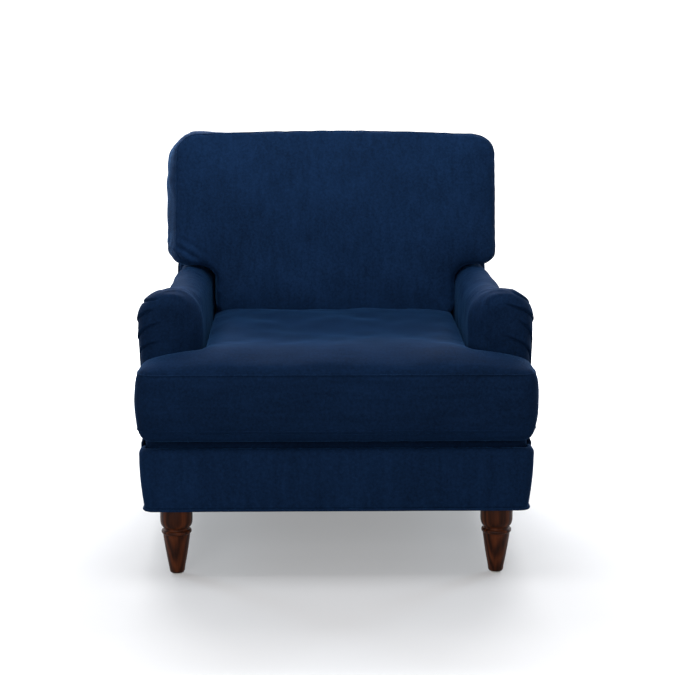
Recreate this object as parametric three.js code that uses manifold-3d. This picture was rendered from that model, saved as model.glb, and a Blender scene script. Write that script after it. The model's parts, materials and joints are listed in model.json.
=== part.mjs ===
// An upholstered roll-arm armchair with loose T-shaped seat and back cushions.
// Millimetres, +Z up. The chair faces -Y, and +X is its right-hand side seen from the front.
// The origin is on the floor, under the middle of the chair.
import * as THREE from "three";
import { mergeVertices } from "three/addons/utils/BufferGeometryUtils.js";
import Module from "manifold-3d";

const wasm = await Module();
wasm.setup();

// ---- driving dimensions ----
const GAP = 0.3; // between pieces that touch
const DEPTH = 920; // overall, seat front to the top of the outside back
const FRONT_Y = -DEPTH / 2; // front of the seat cushion

const LEG_HEIGHT = 155.5;
const GLIDE_HEIGHT = 3;
const FRONT_LEG_X = 354.5;
const FRONT_LEG_Y = -390;
const REAR_LEG_X = 326;
const REAR_LEG_Y = 322;
const REAR_LEG_RAKE = 44; // how far its foot stands behind its top
const BOLT_RADIUS = 4;
const BOLT_HOLE_LOW = 124; // bottom of the hole in the leg

const BASE_FRONT_Y = -431; // outer face of the velvet border
const BASE_HALF_WIDTH = 422; // at the lower edge, where the sides start to flare
const BASE_LOW_Z = 159;
const BORDER_TOP_Z = 296;
const BOARD = 20; // thickness of the frame's boards
const FRAME_Z = 158;
const SIDE_RAIL_X = 401; // outer face
const POST_X = 380.7; // outer face of every post, against the side rail
const FRONT_RAIL_Y = -421; // outer face
const FRONT_RAIL_TOP = 266;
const SIDE_RAIL_TOP = 250;
const REAR_RAIL_TOP = 246;
const REAR_RAIL_Y = 370; // outer face

const ARM_FRONT_Y = -330;
const ARM_INNER_X = 298;
const ARM_OUTER_X = 441;
const ARM_TOP_Z = 624;
const ARM_LOW_Z = 256;
const ARM_TAPER = 40; // how much narrower the arm is behind its full front
const TAPER_START = 50; // behind the arm's front
const TAPER_LENGTH = 190;
const ARM_CORNER = 80; // width of the rounded inner corner of the arm's front
const ARM_CORNER_DEPTH = 16;
const ARM_RAIL_X = 372; // outer face of the arm's top rail
const ROLL_LIP_Z = 520; // underside of the roll, outside
const FAR = 700; // past every face of the chair, for tools that cut right through
const [BELOW_CUT, ABOVE_CUT] = [100, 1000]; // heights past both ends of every raked cut

const BACK_RAKE = THREE.MathUtils.degToRad(13); // loose back cushion
const FRAME_RAKE = THREE.MathUtils.degToRad(6); // back frame
const BACK_HALF_WIDTH = 386;
const BACK_TOP_Z = 892;
const OUTER_BACK_Y = 380; // at BASE_LOW_Z
const INSIDE_BACK_Y = 258; // at INSIDE_BACK_Z
const INSIDE_BACK_Z = 500;
const INSIDE_BACK_LOW_Z = 302;
const BACK_RAIL_LOW = 330; // lower rail of the back frame
const BACK_RAIL_TALL = 60;

const SEAT_SLOPE = THREE.MathUtils.degToRad(1.5); // deck falls towards the back
const SEAT_LOW_Z = 311;
const SEAT_LENGTH = 671;
const SEAT_BODY_HALF = 296;
const SEAT_EAR_HALF = 437;
const SEAT_EAR_DEPTH = 122;
const SEAT_BOXING = 130;
const SEAT_BULGE = 20; // below the lower seam
const SEAT_CROWN = 40; // above the upper seam

const BACK_FOOT_Y = 60; // front face of the back cushion at its lower edge
const BACK_FOOT_Z = 492;
const BACK_HEIGHT = 470; // along the rake
const BACK_THICK = 190;
const BACK_BODY_HALF = 296;
const BACK_EAR_HALF = 402;
const BACK_EAR_LOW = 141; // ears start this far up the cushion
const COVER = 1.8; // fabric and its lining
const ZIP_LENGTH = 430;

// ---- materials ----
const finish = (color, roughness, metalness = 0) =>
  new THREE.MeshStandardMaterial({ color, roughness, metalness });
const velvet = () => finish(0x14294b, 0.85);
const hardwood = () => finish(0xb58d5e, 0.7);
const walnut = () => finish(0x371e11, 0.35);
const steel = () => finish(0x8d9196, 0.35, 1);
const foam = () => finish(0xe6dcb8, 0.95);
const webbing = () => finish(0x3b3b3d, 0.9);
const cambric = () => finish(0x17181b, 0.95);
const nylon = () => finish(0xd8d8d4, 0.5);
const zipTape = () => finish(0x101c33, 0.8);
const brass = () => finish(0xb08d4a, 0.35, 1);

// ---- geometry helpers ----
const chair = new THREE.Group();
chair.name = "armchair";

function addMesh(name, geometry, material, position = [0, 0, 0], parent = chair) {
  const mesh = new THREE.Mesh(geometry, material);
  mesh.name = name;
  mesh.position.set(...position);
  parent.add(mesh);
  return mesh;
}

// Adds a right-hand piece and its mirror image.
function addPair(name, makeGeometry, makeMaterial, position = [0, 0, 0]) {
  addMesh(name + "_right", makeGeometry(), makeMaterial(), position);
  const [x, y, z] = position;
  addMesh(name + "_left", makeGeometry(), makeMaterial(), [-x, y, z]).scale.x = -1;
}

// A box between two corners.
function block(low, high) {
  const size = high.map((v, i) => v - low[i]);
  const middle = high.map((v, i) => (v + low[i]) / 2);
  return new THREE.BoxGeometry(...size).translate(...middle);
}

function prism(shape, depth, options = {}) {
  return new THREE.ExtrudeGeometry(shape, { depth, bevelEnabled: false, curveSegments: 6, ...options });
}

// Extrudes an outline drawn in (y, z) along x, from x = low to x = high.
function prismAlongX(points, low, high) {
  const shape = new THREE.Shape(points.map(([y, z]) => new THREE.Vector2(y, z)));
  return prism(shape, high - low)
    .applyMatrix4(new THREE.Matrix4().set(0, 0, 1, low, 1, 0, 0, 0, 0, 1, 0, 0, 0, 0, 0, 1));
}

// Extrudes an outline drawn in (x, z) along +y, from y = low to y = high.
function prismAlongY(shape, low, high, options) {
  return prism(shape, high - low, options)
    .applyMatrix4(new THREE.Matrix4().set(1, 0, 0, 0, 0, 0, -1, high, 0, 1, 0, 0, 0, 0, 0, 1));
}

// Moves every vertex by a function of its place.
function warp(geometry, move) {
  const p = geometry.getAttribute("position");
  const v = new THREE.Vector3();
  for (let i = 0; i < p.count; i++) {
    v.fromBufferAttribute(p, i);
    move(v);
    p.setXYZ(i, v.x, v.y, v.z);
  }
  return geometry;
}

function roundedOutline(points, radii) {
  const shape = new THREE.Shape();
  const n = points.length;
  points.forEach((point, i) => {
    const corner = new THREE.Vector2(...point);
    const before = new THREE.Vector2(...points[(i + n - 1) % n]).sub(corner).normalize();
    const after = new THREE.Vector2(...points[(i + 1) % n]).sub(corner).normalize();
    const r = Array.isArray(radii) ? radii[i] : radii;
    const start = corner.clone().addScaledVector(before, r);
    const end = corner.clone().addScaledVector(after, r);
    if (i === 0) shape.moveTo(start.x, start.y);
    else shape.lineTo(start.x, start.y);
    if (r > 0) shape.quadraticCurveTo(corner.x, corner.y, end.x, end.y);
  });
  shape.closePath();
  return shape;
}

function solidOf(geometry) {
  const bare = geometry.index ? geometry.toNonIndexed() : geometry.clone();
  bare.deleteAttribute("normal");
  bare.deleteAttribute("uv");
  const merged = mergeVertices(bare, 1e-3);
  return new wasm.Manifold(new wasm.Mesh({
    numProp: 3,
    vertProperties: merged.getAttribute("position").array,
    triVerts: new Uint32Array(merged.index.array),
  }));
}

function geometryOf(solid) {
  const mesh = solid.getMesh();
  const geometry = new THREE.BufferGeometry();
  geometry.setAttribute("position", new THREE.BufferAttribute(mesh.vertProperties, 3));
  geometry.setIndex(new THREE.BufferAttribute(mesh.triVerts, 1));
  geometry.computeVertexNormals();
  return geometry;
}

function join(...geometries) {
  return geometryOf(geometries.map(solidOf).reduce((a, b) => a.add(b)));
}

function cut(geometry, ...tools) {
  return geometryOf(tools.map(solidOf).reduce((a, b) => a.subtract(b), solidOf(geometry)));
}

// ---- planes of the back ----
const insideBackY = (z) => INSIDE_BACK_Y + (z - INSIDE_BACK_Z) * Math.tan(BACK_RAKE);
const outerBackY = (z) => OUTER_BACK_Y + (z - BASE_LOW_Z) * Math.tan(FRAME_RAKE);
const POST_DEPTH = 75;
const POST_SETBACK = 6; // from the outside back to the posts' rear edges
const postFrontY = (z) => outerBackY(z) - POST_DEPTH - POST_SETBACK;

// ---- legs ----
function frontLegGeometry() {
  // Radii of the turning from the floor up: foot, taper, lip, neck and bulb, then the bolt's hole.
  const outline = [
    [0, GLIDE_HEIGHT + GAP], [14, GLIDE_HEIGHT + GAP], [16.5, 7], [17.5, 14], [18.5, 22],
    [23, 52], [29, 84], [31, 92], [33.3, 96], [33.3, 102], [31, 104], [29, 106], [29, 110],
    [31.5, 114], [34.5, 121], [35.75, 130], [35.75, 146], [33.5, LEG_HEIGHT],
    [BOLT_RADIUS + GAP, LEG_HEIGHT], [BOLT_RADIUS + GAP, BOLT_HOLE_LOW], [0, BOLT_HOLE_LOW],
  ];
  const profile = outline.map(([r, z]) => new THREE.Vector2(r, z));
  return new THREE.LatheGeometry(profile, 24).rotateX(Math.PI / 2);
}

function rearLegGeometry() {
  const TOP = 46;
  const FOOT = 30;
  const tall = LEG_HEIGHT - GLIDE_HEIGHT - GAP;
  const leg = new THREE.BoxGeometry(TOP, TOP, tall).translate(0, 0, tall / 2 + GLIDE_HEIGHT + GAP);
  warp(leg, (v) => {
    if (v.z > LEG_HEIGHT / 2) return;
    v.x *= FOOT / TOP;
    v.y = v.y * FOOT / TOP + REAR_LEG_RAKE;
  });
  const DRILL = 40; // long enough to come out of the leg's top
  const hole = new THREE.CylinderGeometry(BOLT_RADIUS + GAP, BOLT_RADIUS + GAP, DRILL, 12);
  return cut(leg, hole.rotateX(Math.PI / 2).translate(0, 0, BOLT_HOLE_LOW + DRILL / 2));
}

function buildLegs() {
  const BOLT_LENGTH = 78;
  const BOLT_Z = 164; // middle of the bolt, half in the leg and half in the corner block
  addPair("front_leg", frontLegGeometry, walnut, [FRONT_LEG_X, FRONT_LEG_Y, 0]);
  addPair("rear_leg", rearLegGeometry, walnut, [REAR_LEG_X, REAR_LEG_Y, 0]);
  const bolt = () => new THREE.CylinderGeometry(BOLT_RADIUS, BOLT_RADIUS, BOLT_LENGTH, 12).rotateX(Math.PI / 2);
  addPair("front_leg_bolt", bolt, steel, [FRONT_LEG_X, FRONT_LEG_Y, BOLT_Z]);
  addPair("rear_leg_bolt", bolt, steel, [REAR_LEG_X, REAR_LEG_Y, BOLT_Z]);
  const glide = () =>
    new THREE.CylinderGeometry(12, 11, GLIDE_HEIGHT, 20).rotateX(Math.PI / 2);
  addPair("front_glide", glide, nylon, [FRONT_LEG_X, FRONT_LEG_Y, GLIDE_HEIGHT / 2]);
  addPair("rear_glide", glide, nylon, [REAR_LEG_X, REAR_LEG_Y + REAR_LEG_RAKE, GLIDE_HEIGHT / 2]);
}

// ---- base frame ----
// A triangular block with the leg bolt's hole; (x, y) is the bolt's place from the square corner.
function cornerBlockGeometry(boltX, boltY, towardsFront) {
  const LEG_OF_BLOCK = 80;
  const HEIGHT = 44;
  const sign = towardsFront ? -1 : 1;
  const shape = new THREE.Shape();
  const points = [[0, 0], [0, sign * LEG_OF_BLOCK], [-LEG_OF_BLOCK, 0]];
  points.forEach(([x, y], i) => (i ? shape.lineTo(x, y) : shape.moveTo(x, y)));
  shape.closePath();
  const hole = new THREE.Path().absarc(boltX, boltY, BOLT_RADIUS + GAP, 0, 2 * Math.PI);
  shape.holes.push(hole);
  return prism(shape, HEIGHT, { curveSegments: 12 });
}

function buildBaseFrame() {
  const inner = SIDE_RAIL_X - BOARD;
  addMesh("front_rail", block(
    [-inner + GAP, FRONT_RAIL_Y, FRAME_Z], [inner - GAP, FRONT_RAIL_Y + BOARD, FRONT_RAIL_TOP]), hardwood());
  const postInner = POST_X - BOARD - GAP;
  addMesh("rear_rail", block(
    [-postInner, REAR_RAIL_Y - BOARD, FRAME_Z], [postInner, REAR_RAIL_Y, REAR_RAIL_TOP]), hardwood());
  addPair("side_rail", () => block(
    [inner, FRONT_RAIL_Y, FRAME_Z], [SIDE_RAIL_X, OUTER_BACK_Y - 8, SIDE_RAIL_TOP]), hardwood);

  const frontCorner = [inner - GAP, FRONT_RAIL_Y + BOARD + GAP];
  addPair("front_corner_block", () => cornerBlockGeometry(
    FRONT_LEG_X - frontCorner[0], FRONT_LEG_Y - frontCorner[1], false),
  hardwood, [...frontCorner, FRAME_Z]);
  const rearCorner = [postInner - GAP, REAR_RAIL_Y - BOARD - GAP];
  addPair("rear_corner_block", () => cornerBlockGeometry(
    REAR_LEG_X - rearCorner[0], REAR_LEG_Y - rearCorner[1], true),
  hardwood, [...rearCorner, FRAME_Z]);
}

// ---- arm frame ----
const POST_LOW_Z = 165;
const ARM_BOARD_TOP = 569;
const ARM_POST_Y = ARM_FRONT_Y + 26; // front face of the shaped post
const ARM_POST_INNER_X = ARM_INNER_X + 34;
const ARM_POST_DEPTH = 30;

function armPostGeometry() {
  const postInner = POST_X - BOARD;
  const outline = roundedOutline([
    [postInner, POST_LOW_Z], [POST_X, POST_LOW_Z], [POST_X, SIDE_RAIL_TOP + GAP],
    [SIDE_RAIL_X, SIDE_RAIL_TOP + GAP], [SIDE_RAIL_X, ARM_BOARD_TOP],
    [ARM_POST_INNER_X, ARM_BOARD_TOP], [ARM_POST_INNER_X, SIDE_RAIL_TOP + GAP],
    [postInner, SIDE_RAIL_TOP + GAP],
  ], [0, 0, 0, 0, 20, 20, 0, 0]);
  return prismAlongY(outline, ARM_POST_Y, ARM_POST_Y + ARM_POST_DEPTH);
}

function buildArmFrame() {
  addPair("arm_front_post", armPostGeometry, hardwood);
  const railLow = ARM_BOARD_TOP - BOARD;
  addPair("arm_top_rail", () => block(
    [ARM_INNER_X + 32, ARM_POST_Y + ARM_POST_DEPTH + GAP, railLow],
    [ARM_RAIL_X, postFrontY(railLow) - 1, ARM_BOARD_TOP]), hardwood);
}

// ---- back frame ----
function buildBackFrame() {
  const POST_TOP_Z = BACK_TOP_Z - 14;
  // A raked bar between two heights, as deep as asked behind the plane of the posts' front edges.
  const raked = (xLow, xHigh, zLow, zHigh, depth, setBack = 0) => prismAlongX([
    [postFrontY(zLow) + setBack, zLow], [postFrontY(zLow) + setBack + depth, zLow],
    [postFrontY(zHigh) + setBack + depth, zHigh], [postFrontY(zHigh) + setBack, zHigh],
  ], xLow, xHigh);
  const postInner = POST_X - BOARD;
  addPair("back_post", () => raked(postInner, POST_X, POST_LOW_Z, POST_TOP_Z, POST_DEPTH), hardwood);
  const half = postInner - GAP;
  addMesh("back_top_rail", raked(
    -half, half, POST_TOP_Z - BACK_RAIL_TALL, POST_TOP_Z, BOARD), hardwood());
  addMesh("back_lower_rail", raked(
    -half, half, BACK_RAIL_LOW, BACK_RAIL_LOW + BACK_RAIL_TALL, BOARD), hardwood());

  const STRAP_WIDTH = 80;
  const STRAP_PITCH = 190;
  const STRAP = 2; // thickness
  const STRAP_INSET = 4; // from the far edge of each rail
  for (const [name, place] of [["left", -1], ["middle", 0], ["right", 1]]) {
    const low = place * STRAP_PITCH - STRAP_WIDTH / 2;
    const strap = raked(
      low, low + STRAP_WIDTH, BACK_RAIL_LOW + STRAP_INSET, POST_TOP_Z - STRAP_INSET, STRAP, -STRAP - GAP);
    addMesh("back_webbing_" + name, strap, webbing());
  }
}

// ---- seat springs ----
class ZigzagArc extends THREE.Curve {
  constructor(x, start, end, lowFront, lowRear) {
    super();
    Object.assign(this, { x, start, end, lowFront, lowRear });
  }
  getPoint(t, target = new THREE.Vector3()) {
    const RUNGS = 12;
    const HALF_SWING = 22;
    const ARCH = 8;
    const swing = Math.sin(t * RUNGS * Math.PI);
    const flat = Math.sign(swing) * Math.pow(Math.abs(swing), 0.6);
    const z = THREE.MathUtils.lerp(this.lowFront, this.lowRear, t) + ARCH * Math.sin(Math.PI * t);
    return target.set(this.x + HALF_SWING * flat, THREE.MathUtils.lerp(this.start, this.end, t), z);
  }
}

function buildSeatSprings() {
  const WIRE = 1.9;
  const SPRINGS = 5;
  const PITCH = 112;
  const lift = 6;
  const start = FRONT_RAIL_Y + 8;
  const end = REAR_RAIL_Y - 8;
  const section = new THREE.Shape().absarc(0, 0, WIRE, 0, 2 * Math.PI);
  for (let i = 0; i < SPRINGS; i++) {
    const x = (i - (SPRINGS - 1) / 2) * PITCH;
    const path = new ZigzagArc(x, start, end, FRONT_RAIL_TOP + lift, REAR_RAIL_TOP + lift);
    const wire = new THREE.ExtrudeGeometry(section, {
      steps: 48, curveSegments: 3, bevelEnabled: false, extrudePath: path,
    });
    addMesh("seat_spring_" + (i + 1), wire, steel());
  }
  // A folded steel strip on each rail, open towards the springs that it holds.
  const clipRail = (y, top, open) => {
    const [T, WIDE, TALL, HALF] = [1.2, 16, 12, 270];
    const back = y - open * WIDE / 2;
    const mouth = y + open * WIDE / 2;
    const points = [
      [mouth, top], [back, top], [back, top + TALL], [mouth, top + TALL],
      [mouth, top + TALL - T], [back + open * T, top + TALL - T], [back + open * T, top + T], [mouth, top + T],
    ];
    return prismAlongX(open > 0 ? points.reverse() : points, -HALF, HALF);
  };
  addMesh("spring_clip_rail_front",
    clipRail(FRONT_RAIL_Y + BOARD / 2, FRONT_RAIL_TOP + GAP, 1), steel());
  addMesh("spring_clip_rail_rear",
    clipRail(REAR_RAIL_Y - BOARD / 2, REAR_RAIL_TOP + GAP, -1), steel());
}

// ---- T-shaped outlines ----
// The outline of a T with its ears at the top of the page, rounded at every corner.
function tOutline(bodyHalf, earHalf, length, earDepth, inset, corner) {
  const body = bodyHalf - inset;
  const ear = earHalf - inset;
  const low = inset;
  const high = length - inset;
  const notch = length - earDepth + inset;
  return roundedOutline([
    [-body, low], [body, low], [body, notch], [ear, notch],
    [ear, high], [-ear, high], [-ear, notch], [-body, notch],
  ], [corner, corner, 8, corner, corner, corner, corner, 8]);
}

// A crowned T cushion lying in the page, its boxing along +z and its two faces swollen.
function tCushion(outline, boxing, lowSwell, highSwell, steps = 2) {
  const BAND = 36;
  const geometry = prism(outline, boxing, {
    bevelEnabled: true, bevelThickness: 1, bevelSize: BAND, bevelOffset: -BAND, bevelSegments: steps,
    curveSegments: 4,
  });
  return warp(geometry, (v) => {
    if (v.z < 0) v.z *= lowSwell;
    else if (v.z > boxing) v.z = boxing + (v.z - boxing) * highSwell;
  });
}

// ---- deck, between the springs and the seat cushion ----
const seatGroup = new THREE.Group();
seatGroup.position.set(0, FRONT_Y, SEAT_LOW_Z);
seatGroup.rotation.x = -SEAT_SLOPE;
chair.add(seatGroup);

// Turns a T drawn with its ears at the top of the page into one whose ears are at the front.
const earsToFront = (geometry, length) => geometry.rotateZ(Math.PI).translate(0, length, 0);

function buildDeck() {
  const SETBACK = 34; // behind the cushion's front
  const PAD = 20;
  const COVER_TOP = -0.5;
  const length = SEAT_LENGTH - SETBACK;
  const layer = (depth, inset) => earsToFront(
    prism(tOutline(SEAT_BODY_HALF, BASE_HALF_WIDTH - 4, length, 92, inset, 16), depth), length);
  addMesh("deck_cover", layer(COVER, 0), velvet(), [0, SETBACK, COVER_TOP - COVER], seatGroup);
  addMesh("deck_pad", layer(PAD, 1), foam(), [0, SETBACK, COVER_TOP - COVER - GAP - PAD], seatGroup);
}

// ---- zips ----
function zipPullGeometry() {
  const body = block([-5, -4, 0], [5, 4, 2.6]);
  const tab = block([4, -2.5, 0.8], [26, 2.5, 2]);
  return join(body, tab);
}

// ---- loose seat cushion ----
function buildSeatCushion() {
  const shell = (inset) => earsToFront(tCushion(
    tOutline(SEAT_BODY_HALF, SEAT_EAR_HALF, SEAT_LENGTH, SEAT_EAR_DEPTH, inset, 50),
    SEAT_BOXING, SEAT_BULGE - inset, SEAT_CROWN - inset), SEAT_LENGTH);
  const SLOT = 16;
  const slotZ = SEAT_BOXING / 2;
  const slot = block(
    [-ZIP_LENGTH / 2 - 8, SEAT_LENGTH - 9, slotZ - SLOT / 2],
    [ZIP_LENGTH / 2 + 8, SEAT_LENGTH + 9, slotZ + SLOT / 2]);
  const base = [0, 0, SEAT_BULGE];
  addMesh("seat_cushion_cover", cut(shell(0), shell(COVER), slot), velvet(), base, seatGroup);
  const recess = block(
    [-ZIP_LENGTH / 2 - 20, SEAT_LENGTH - 9, slotZ - 20], [ZIP_LENGTH / 2 + 20, SEAT_LENGTH + 9, slotZ + 20]);
  addMesh("seat_cushion_core", cut(shell(COVER + GAP), recess), foam(), base, seatGroup);
  const tapeY = SEAT_LENGTH - COVER - GAP;
  addMesh("seat_zip_tape", block(
    [-ZIP_LENGTH / 2 - 14, tapeY - 1.4, slotZ - 14], [ZIP_LENGTH / 2 + 14, tapeY, slotZ + 14]),
  zipTape(), base, seatGroup);
  const pull = addMesh("seat_zip_pull", zipPullGeometry(), brass(),
    [-ZIP_LENGTH / 2 + 6, tapeY + GAP, SEAT_BULGE + slotZ], seatGroup);
  pull.rotation.x = -Math.PI / 2;
}

// ---- loose back cushion ----
// The cushion is drawn with its height along the page's y and its boxing along z, then stood up.
const backGroup = new THREE.Group();
backGroup.position.set(0, BACK_FOOT_Y, BACK_FOOT_Z);
backGroup.rotation.x = -BACK_RAKE;
chair.add(backGroup);

function buildBackCushion() {
  const BACK_SWELL = 12;
  const FRONT_SWELL = 22;
  const boxing = BACK_THICK - BACK_SWELL - FRONT_SWELL;
  const earDepth = BACK_HEIGHT - BACK_EAR_LOW;
  const stand = (geometry) => geometry.rotateX(Math.PI / 2).translate(0, BACK_THICK - BACK_SWELL, 0);
  // The lower edge and the ears' undersides are level, to lie on the seat and the arms, so each
  // point up to there is raised by its depth, and the rest less and less up to the top.
  const level = (geometry) => warp(geometry, (v) => {
    const share = 1 - THREE.MathUtils.clamp((v.z - BACK_EAR_LOW) / earDepth, 0, 1);
    v.z += v.y * Math.tan(BACK_RAKE) * share;
  });
  const shell = (inset) => level(stand(tCushion(
    tOutline(BACK_BODY_HALF, BACK_EAR_HALF, BACK_HEIGHT, earDepth, inset, 50),
    boxing, BACK_SWELL - inset, FRONT_SWELL - inset)));
  const depth = BACK_THICK / 2;
  const footZ = depth * Math.tan(BACK_RAKE);
  // Everything at the zip follows the level lower edge, which is turned back by the rake.
  const tilt = (geometry) => geometry.rotateX(BACK_RAKE).translate(0, depth, footZ);
  const half = ZIP_LENGTH / 2;
  const slot = tilt(block([-half - 8, -8, -9], [half + 8, 8, 9]));
  addMesh("back_cushion_cover", cut(shell(0), shell(COVER), slot), velvet(), [0, 0, 0], backGroup);
  const recess = tilt(block([-half - 20, -20, -9], [half + 20, 20, 9]));
  addMesh("back_cushion_core", cut(shell(COVER + GAP), recess), foam(), [0, 0, 0], backGroup);
  const tapeLow = COVER + 2 * GAP;
  addMesh("back_zip_tape", tilt(block([-half - 14, -14, tapeLow], [half + 14, 14, tapeLow + 1.4])),
    zipTape(), [0, 0, 0], backGroup);
  const pull = zipPullGeometry().rotateX(Math.PI).translate(-half + 6, 0, tapeLow - GAP);
  addMesh("back_zip_pull", tilt(pull), brass(), [0, 0, 0], backGroup);
}

// Everything behind a plane, between two heights and out to a half-width, as a tool to cut with.
function behind(planeY, low, high, half = FAR) {
  return prismAlongX([[planeY(low), low], [FAR, low], [FAR, high], [planeY(high), high]], -half, half);
}

// ---- arms ----
// How far the arm's outer side has come in at a place along it.
function armNarrowing(y) {
  const start = ARM_FRONT_Y + TAPER_START;
  return ARM_TAPER * THREE.MathUtils.smoothstep(y, start, start + TAPER_LENGTH);
}

// The arm's section at its front, drawn in (x, z): a low round roll over a side that leans in below it.
function armOutline(inset, low) {
  const LEAN = 7;
  const WIDEST_Z = 540;
  const [OUTER_RADIUS, INNER_RADIUS] = [62, 76];
  const inner = ARM_INNER_X + inset;
  const outer = ARM_OUTER_X - inset;
  const top = ARM_TOP_Z - inset;
  return roundedOutline(
    [[inner, low], [outer - LEAN, low], [outer, WIDEST_Z], [outer, top], [inner, top]],
    [0, 0, 12, OUTER_RADIUS - inset, INNER_RADIUS - inset]);
}

const ARM_END_Y = outerBackY(ARM_LOW_Z) - 1;

// The solid inside an arm's skin, rounded at the front, and its inner front corner most of all.
// It runs on past the arm's foot and rear end, where armCutters trims it.
function armBody(inset) {
  const NOSE = 26;
  const PAST = 60;
  const CORNER_FADE = [ARM_FRONT_Y + NOSE, ARM_FRONT_Y + 150];
  const body = prismAlongY(
    armOutline(inset + NOSE, ARM_LOW_Z - PAST - inset), ARM_FRONT_Y + inset + NOSE, ARM_END_Y + PAST,
    { bevelEnabled: true, bevelThickness: NOSE, bevelSize: NOSE, bevelSegments: 3, steps: 8 });
  return warp(body, (v) => {
    const across = (v.x - ARM_INNER_X) / (ARM_OUTER_X - ARM_INNER_X);
    const corner = THREE.MathUtils.clamp((ARM_INNER_X + ARM_CORNER - v.x) / ARM_CORNER, 0, 1);
    const front = 1 - THREE.MathUtils.smoothstep(v.y, ...CORNER_FADE);
    v.x -= armNarrowing(v.y) * across;
    v.y += ARM_CORNER_DEPTH * corner * corner * front;
  });
}

// Room for what passes the arm's rear end and its foot.
function armCutters(margin) {
  const slot = (low, high, fromX, toX) => prismAlongX([
    [postFrontY(low) - margin, low], [FAR, low], [FAR, high], [postFrontY(high) - margin, high],
  ], fromX, toX);
  const postSlot = slot(BELOW_CUT, FAR, POST_X - BOARD - margin, POST_X + margin);
  const railSlot = slot(
    BACK_RAIL_LOW - margin, BACK_RAIL_LOW + BACK_RAIL_TALL + margin, 200, POST_X - BOARD + 1);
  const sidePanelRoom = block([SIDE_RAIL_X + 4, -FAR, 0], [FAR, FAR, BORDER_TOP_Z + 2]);
  const foot = block([0, -FAR, 0], [FAR, FAR, ARM_LOW_Z]);
  return [behind((z) => outerBackY(z) - 1, BELOW_CUT, ABOVE_CUT), postSlot, railSlot, sidePanelRoom, foot];
}

function armCoverGeometry() {
  const outerOpening = block(
    [ARM_OUTER_X - ARM_TAPER - 8, ARM_FRONT_Y + 34, 0], [FAR, FAR, ROLL_LIP_Z]);
  return cut(armBody(0), armBody(COVER), outerOpening, ...armCutters(3));
}

function armPadGeometry() {
  const PAD = 22;
  const inside = ARM_INNER_X + PAD;
  const front = ARM_POST_Y - GAP;
  const top = ARM_BOARD_TOP + GAP;
  const postRoom = block([inside, front, 0], [SIDE_RAIL_X + 2, front + ARM_POST_DEPTH + 2 * GAP, top]);
  const railRoom = block([inside, front, 0], [ARM_RAIL_X + 2, FAR, top]);
  const outside = block([ARM_RAIL_X, front, 0], [FAR, FAR, ROLL_LIP_Z + 1]);
  return cut(armBody(COVER + GAP), postRoom, railRoom, outside, ...armCutters(4));
}

function buildArms() {
  addPair("arm_cover", armCoverGeometry, velvet);
  addPair("arm_pad", armPadGeometry, foam);
}

// ---- inside back ----
function insideBackSolid(inset, past, lowZ = INSIDE_BACK_LOW_Z) {
  const lowerHalf = ARM_INNER_X - 2 - inset;
  const upperHalf = BACK_HALF_WIDTH - inset;
  const slab = (zLow, zHigh, half) => prismAlongX([
    [insideBackY(zLow) + inset, zLow], [outerBackY(zLow) + past, zLow],
    [outerBackY(zHigh) + past, zHigh], [insideBackY(zHigh) + inset, zHigh],
  ], -half, half);
  const lower = slab(lowZ, ARM_TOP_Z + 40, lowerHalf);
  return join(lower, slab(ARM_TOP_Z + 4 + inset, BACK_TOP_Z - inset, upperHalf));
}

function buildInsideBack() {
  const RETURN = 30; // how far the lower sides run back from the front
  const lowerSides = behind((z) => insideBackY(z) + RETURN, 200, ARM_TOP_Z - 6);
  const postRoom = behind((z) => insideBackY(z) + RETURN, 500, ARM_TOP_Z + 12, POST_X + 4);
  addMesh("back_frame_cover",
    cut(insideBackSolid(0, -1), insideBackSolid(COVER, 60, 200), lowerSides, postRoom), velvet());
  const STRAP_ROOM = 3;
  const straps = behind((z) => postFrontY(z) - STRAP_ROOM, BELOW_CUT, ABOVE_CUT);
  addMesh("inside_back_pad", cut(insideBackSolid(COVER + GAP, 0), straps), foam());
}

// ---- outside panels ----
function buildOutsidePanels() {
  const SHOULDER = ARM_OUTER_X - ARM_TAPER - 3;
  const THICK = 3;
  const back = roundedOutline([
    [-BASE_HALF_WIDTH + 4, BASE_LOW_Z], [BASE_HALF_WIDTH - 4, BASE_LOW_Z], [SHOULDER, ARM_TOP_Z - 2],
    [BACK_HALF_WIDTH - 1, ARM_TOP_Z - 2], [BACK_HALF_WIDTH - 1, BACK_TOP_Z - 1],
    [-BACK_HALF_WIDTH + 1, BACK_TOP_Z - 1], [-BACK_HALF_WIDTH + 1, ARM_TOP_Z - 2], [-SHOULDER, ARM_TOP_Z - 2],
  ], [0, 0, 28, 0, 30, 30, 0, 28]);
  addMesh("outside_back_panel", warp(prismAlongY(back, 0, THICK), (v) => {
    v.y += outerBackY(v.z);
  }), velvet());

  // An L: the side of the base, and the outside of the arm above it.
  const FLARE = 14;
  const cornerY = BASE_FRONT_Y + 42;
  const armY = ARM_FRONT_Y + 36;
  const top = ROLL_LIP_Z - 1;
  const taperEnd = ARM_FRONT_Y + TAPER_START + TAPER_LENGTH;
  const outline = [
    [cornerY, BASE_LOW_Z], [OUTER_BACK_Y - 1, BASE_LOW_Z], [outerBackY(top) - 1, top], [taperEnd, top],
    [(armY + taperEnd) / 2, top], [armY, top], [armY, BORDER_TOP_Z], [cornerY, BORDER_TOP_Z],
  ];
  const up = (z) => (z - BASE_LOW_Z) / (ROLL_LIP_Z - BASE_LOW_Z);
  addPair("outside_arm_panel", () => warp(
    prismAlongX(outline, BASE_HALF_WIDTH - 4, BASE_HALF_WIDTH), (v) => {
      v.x += up(v.z) * (FLARE - armNarrowing(v.y));
    }), velvet);
}

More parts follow.
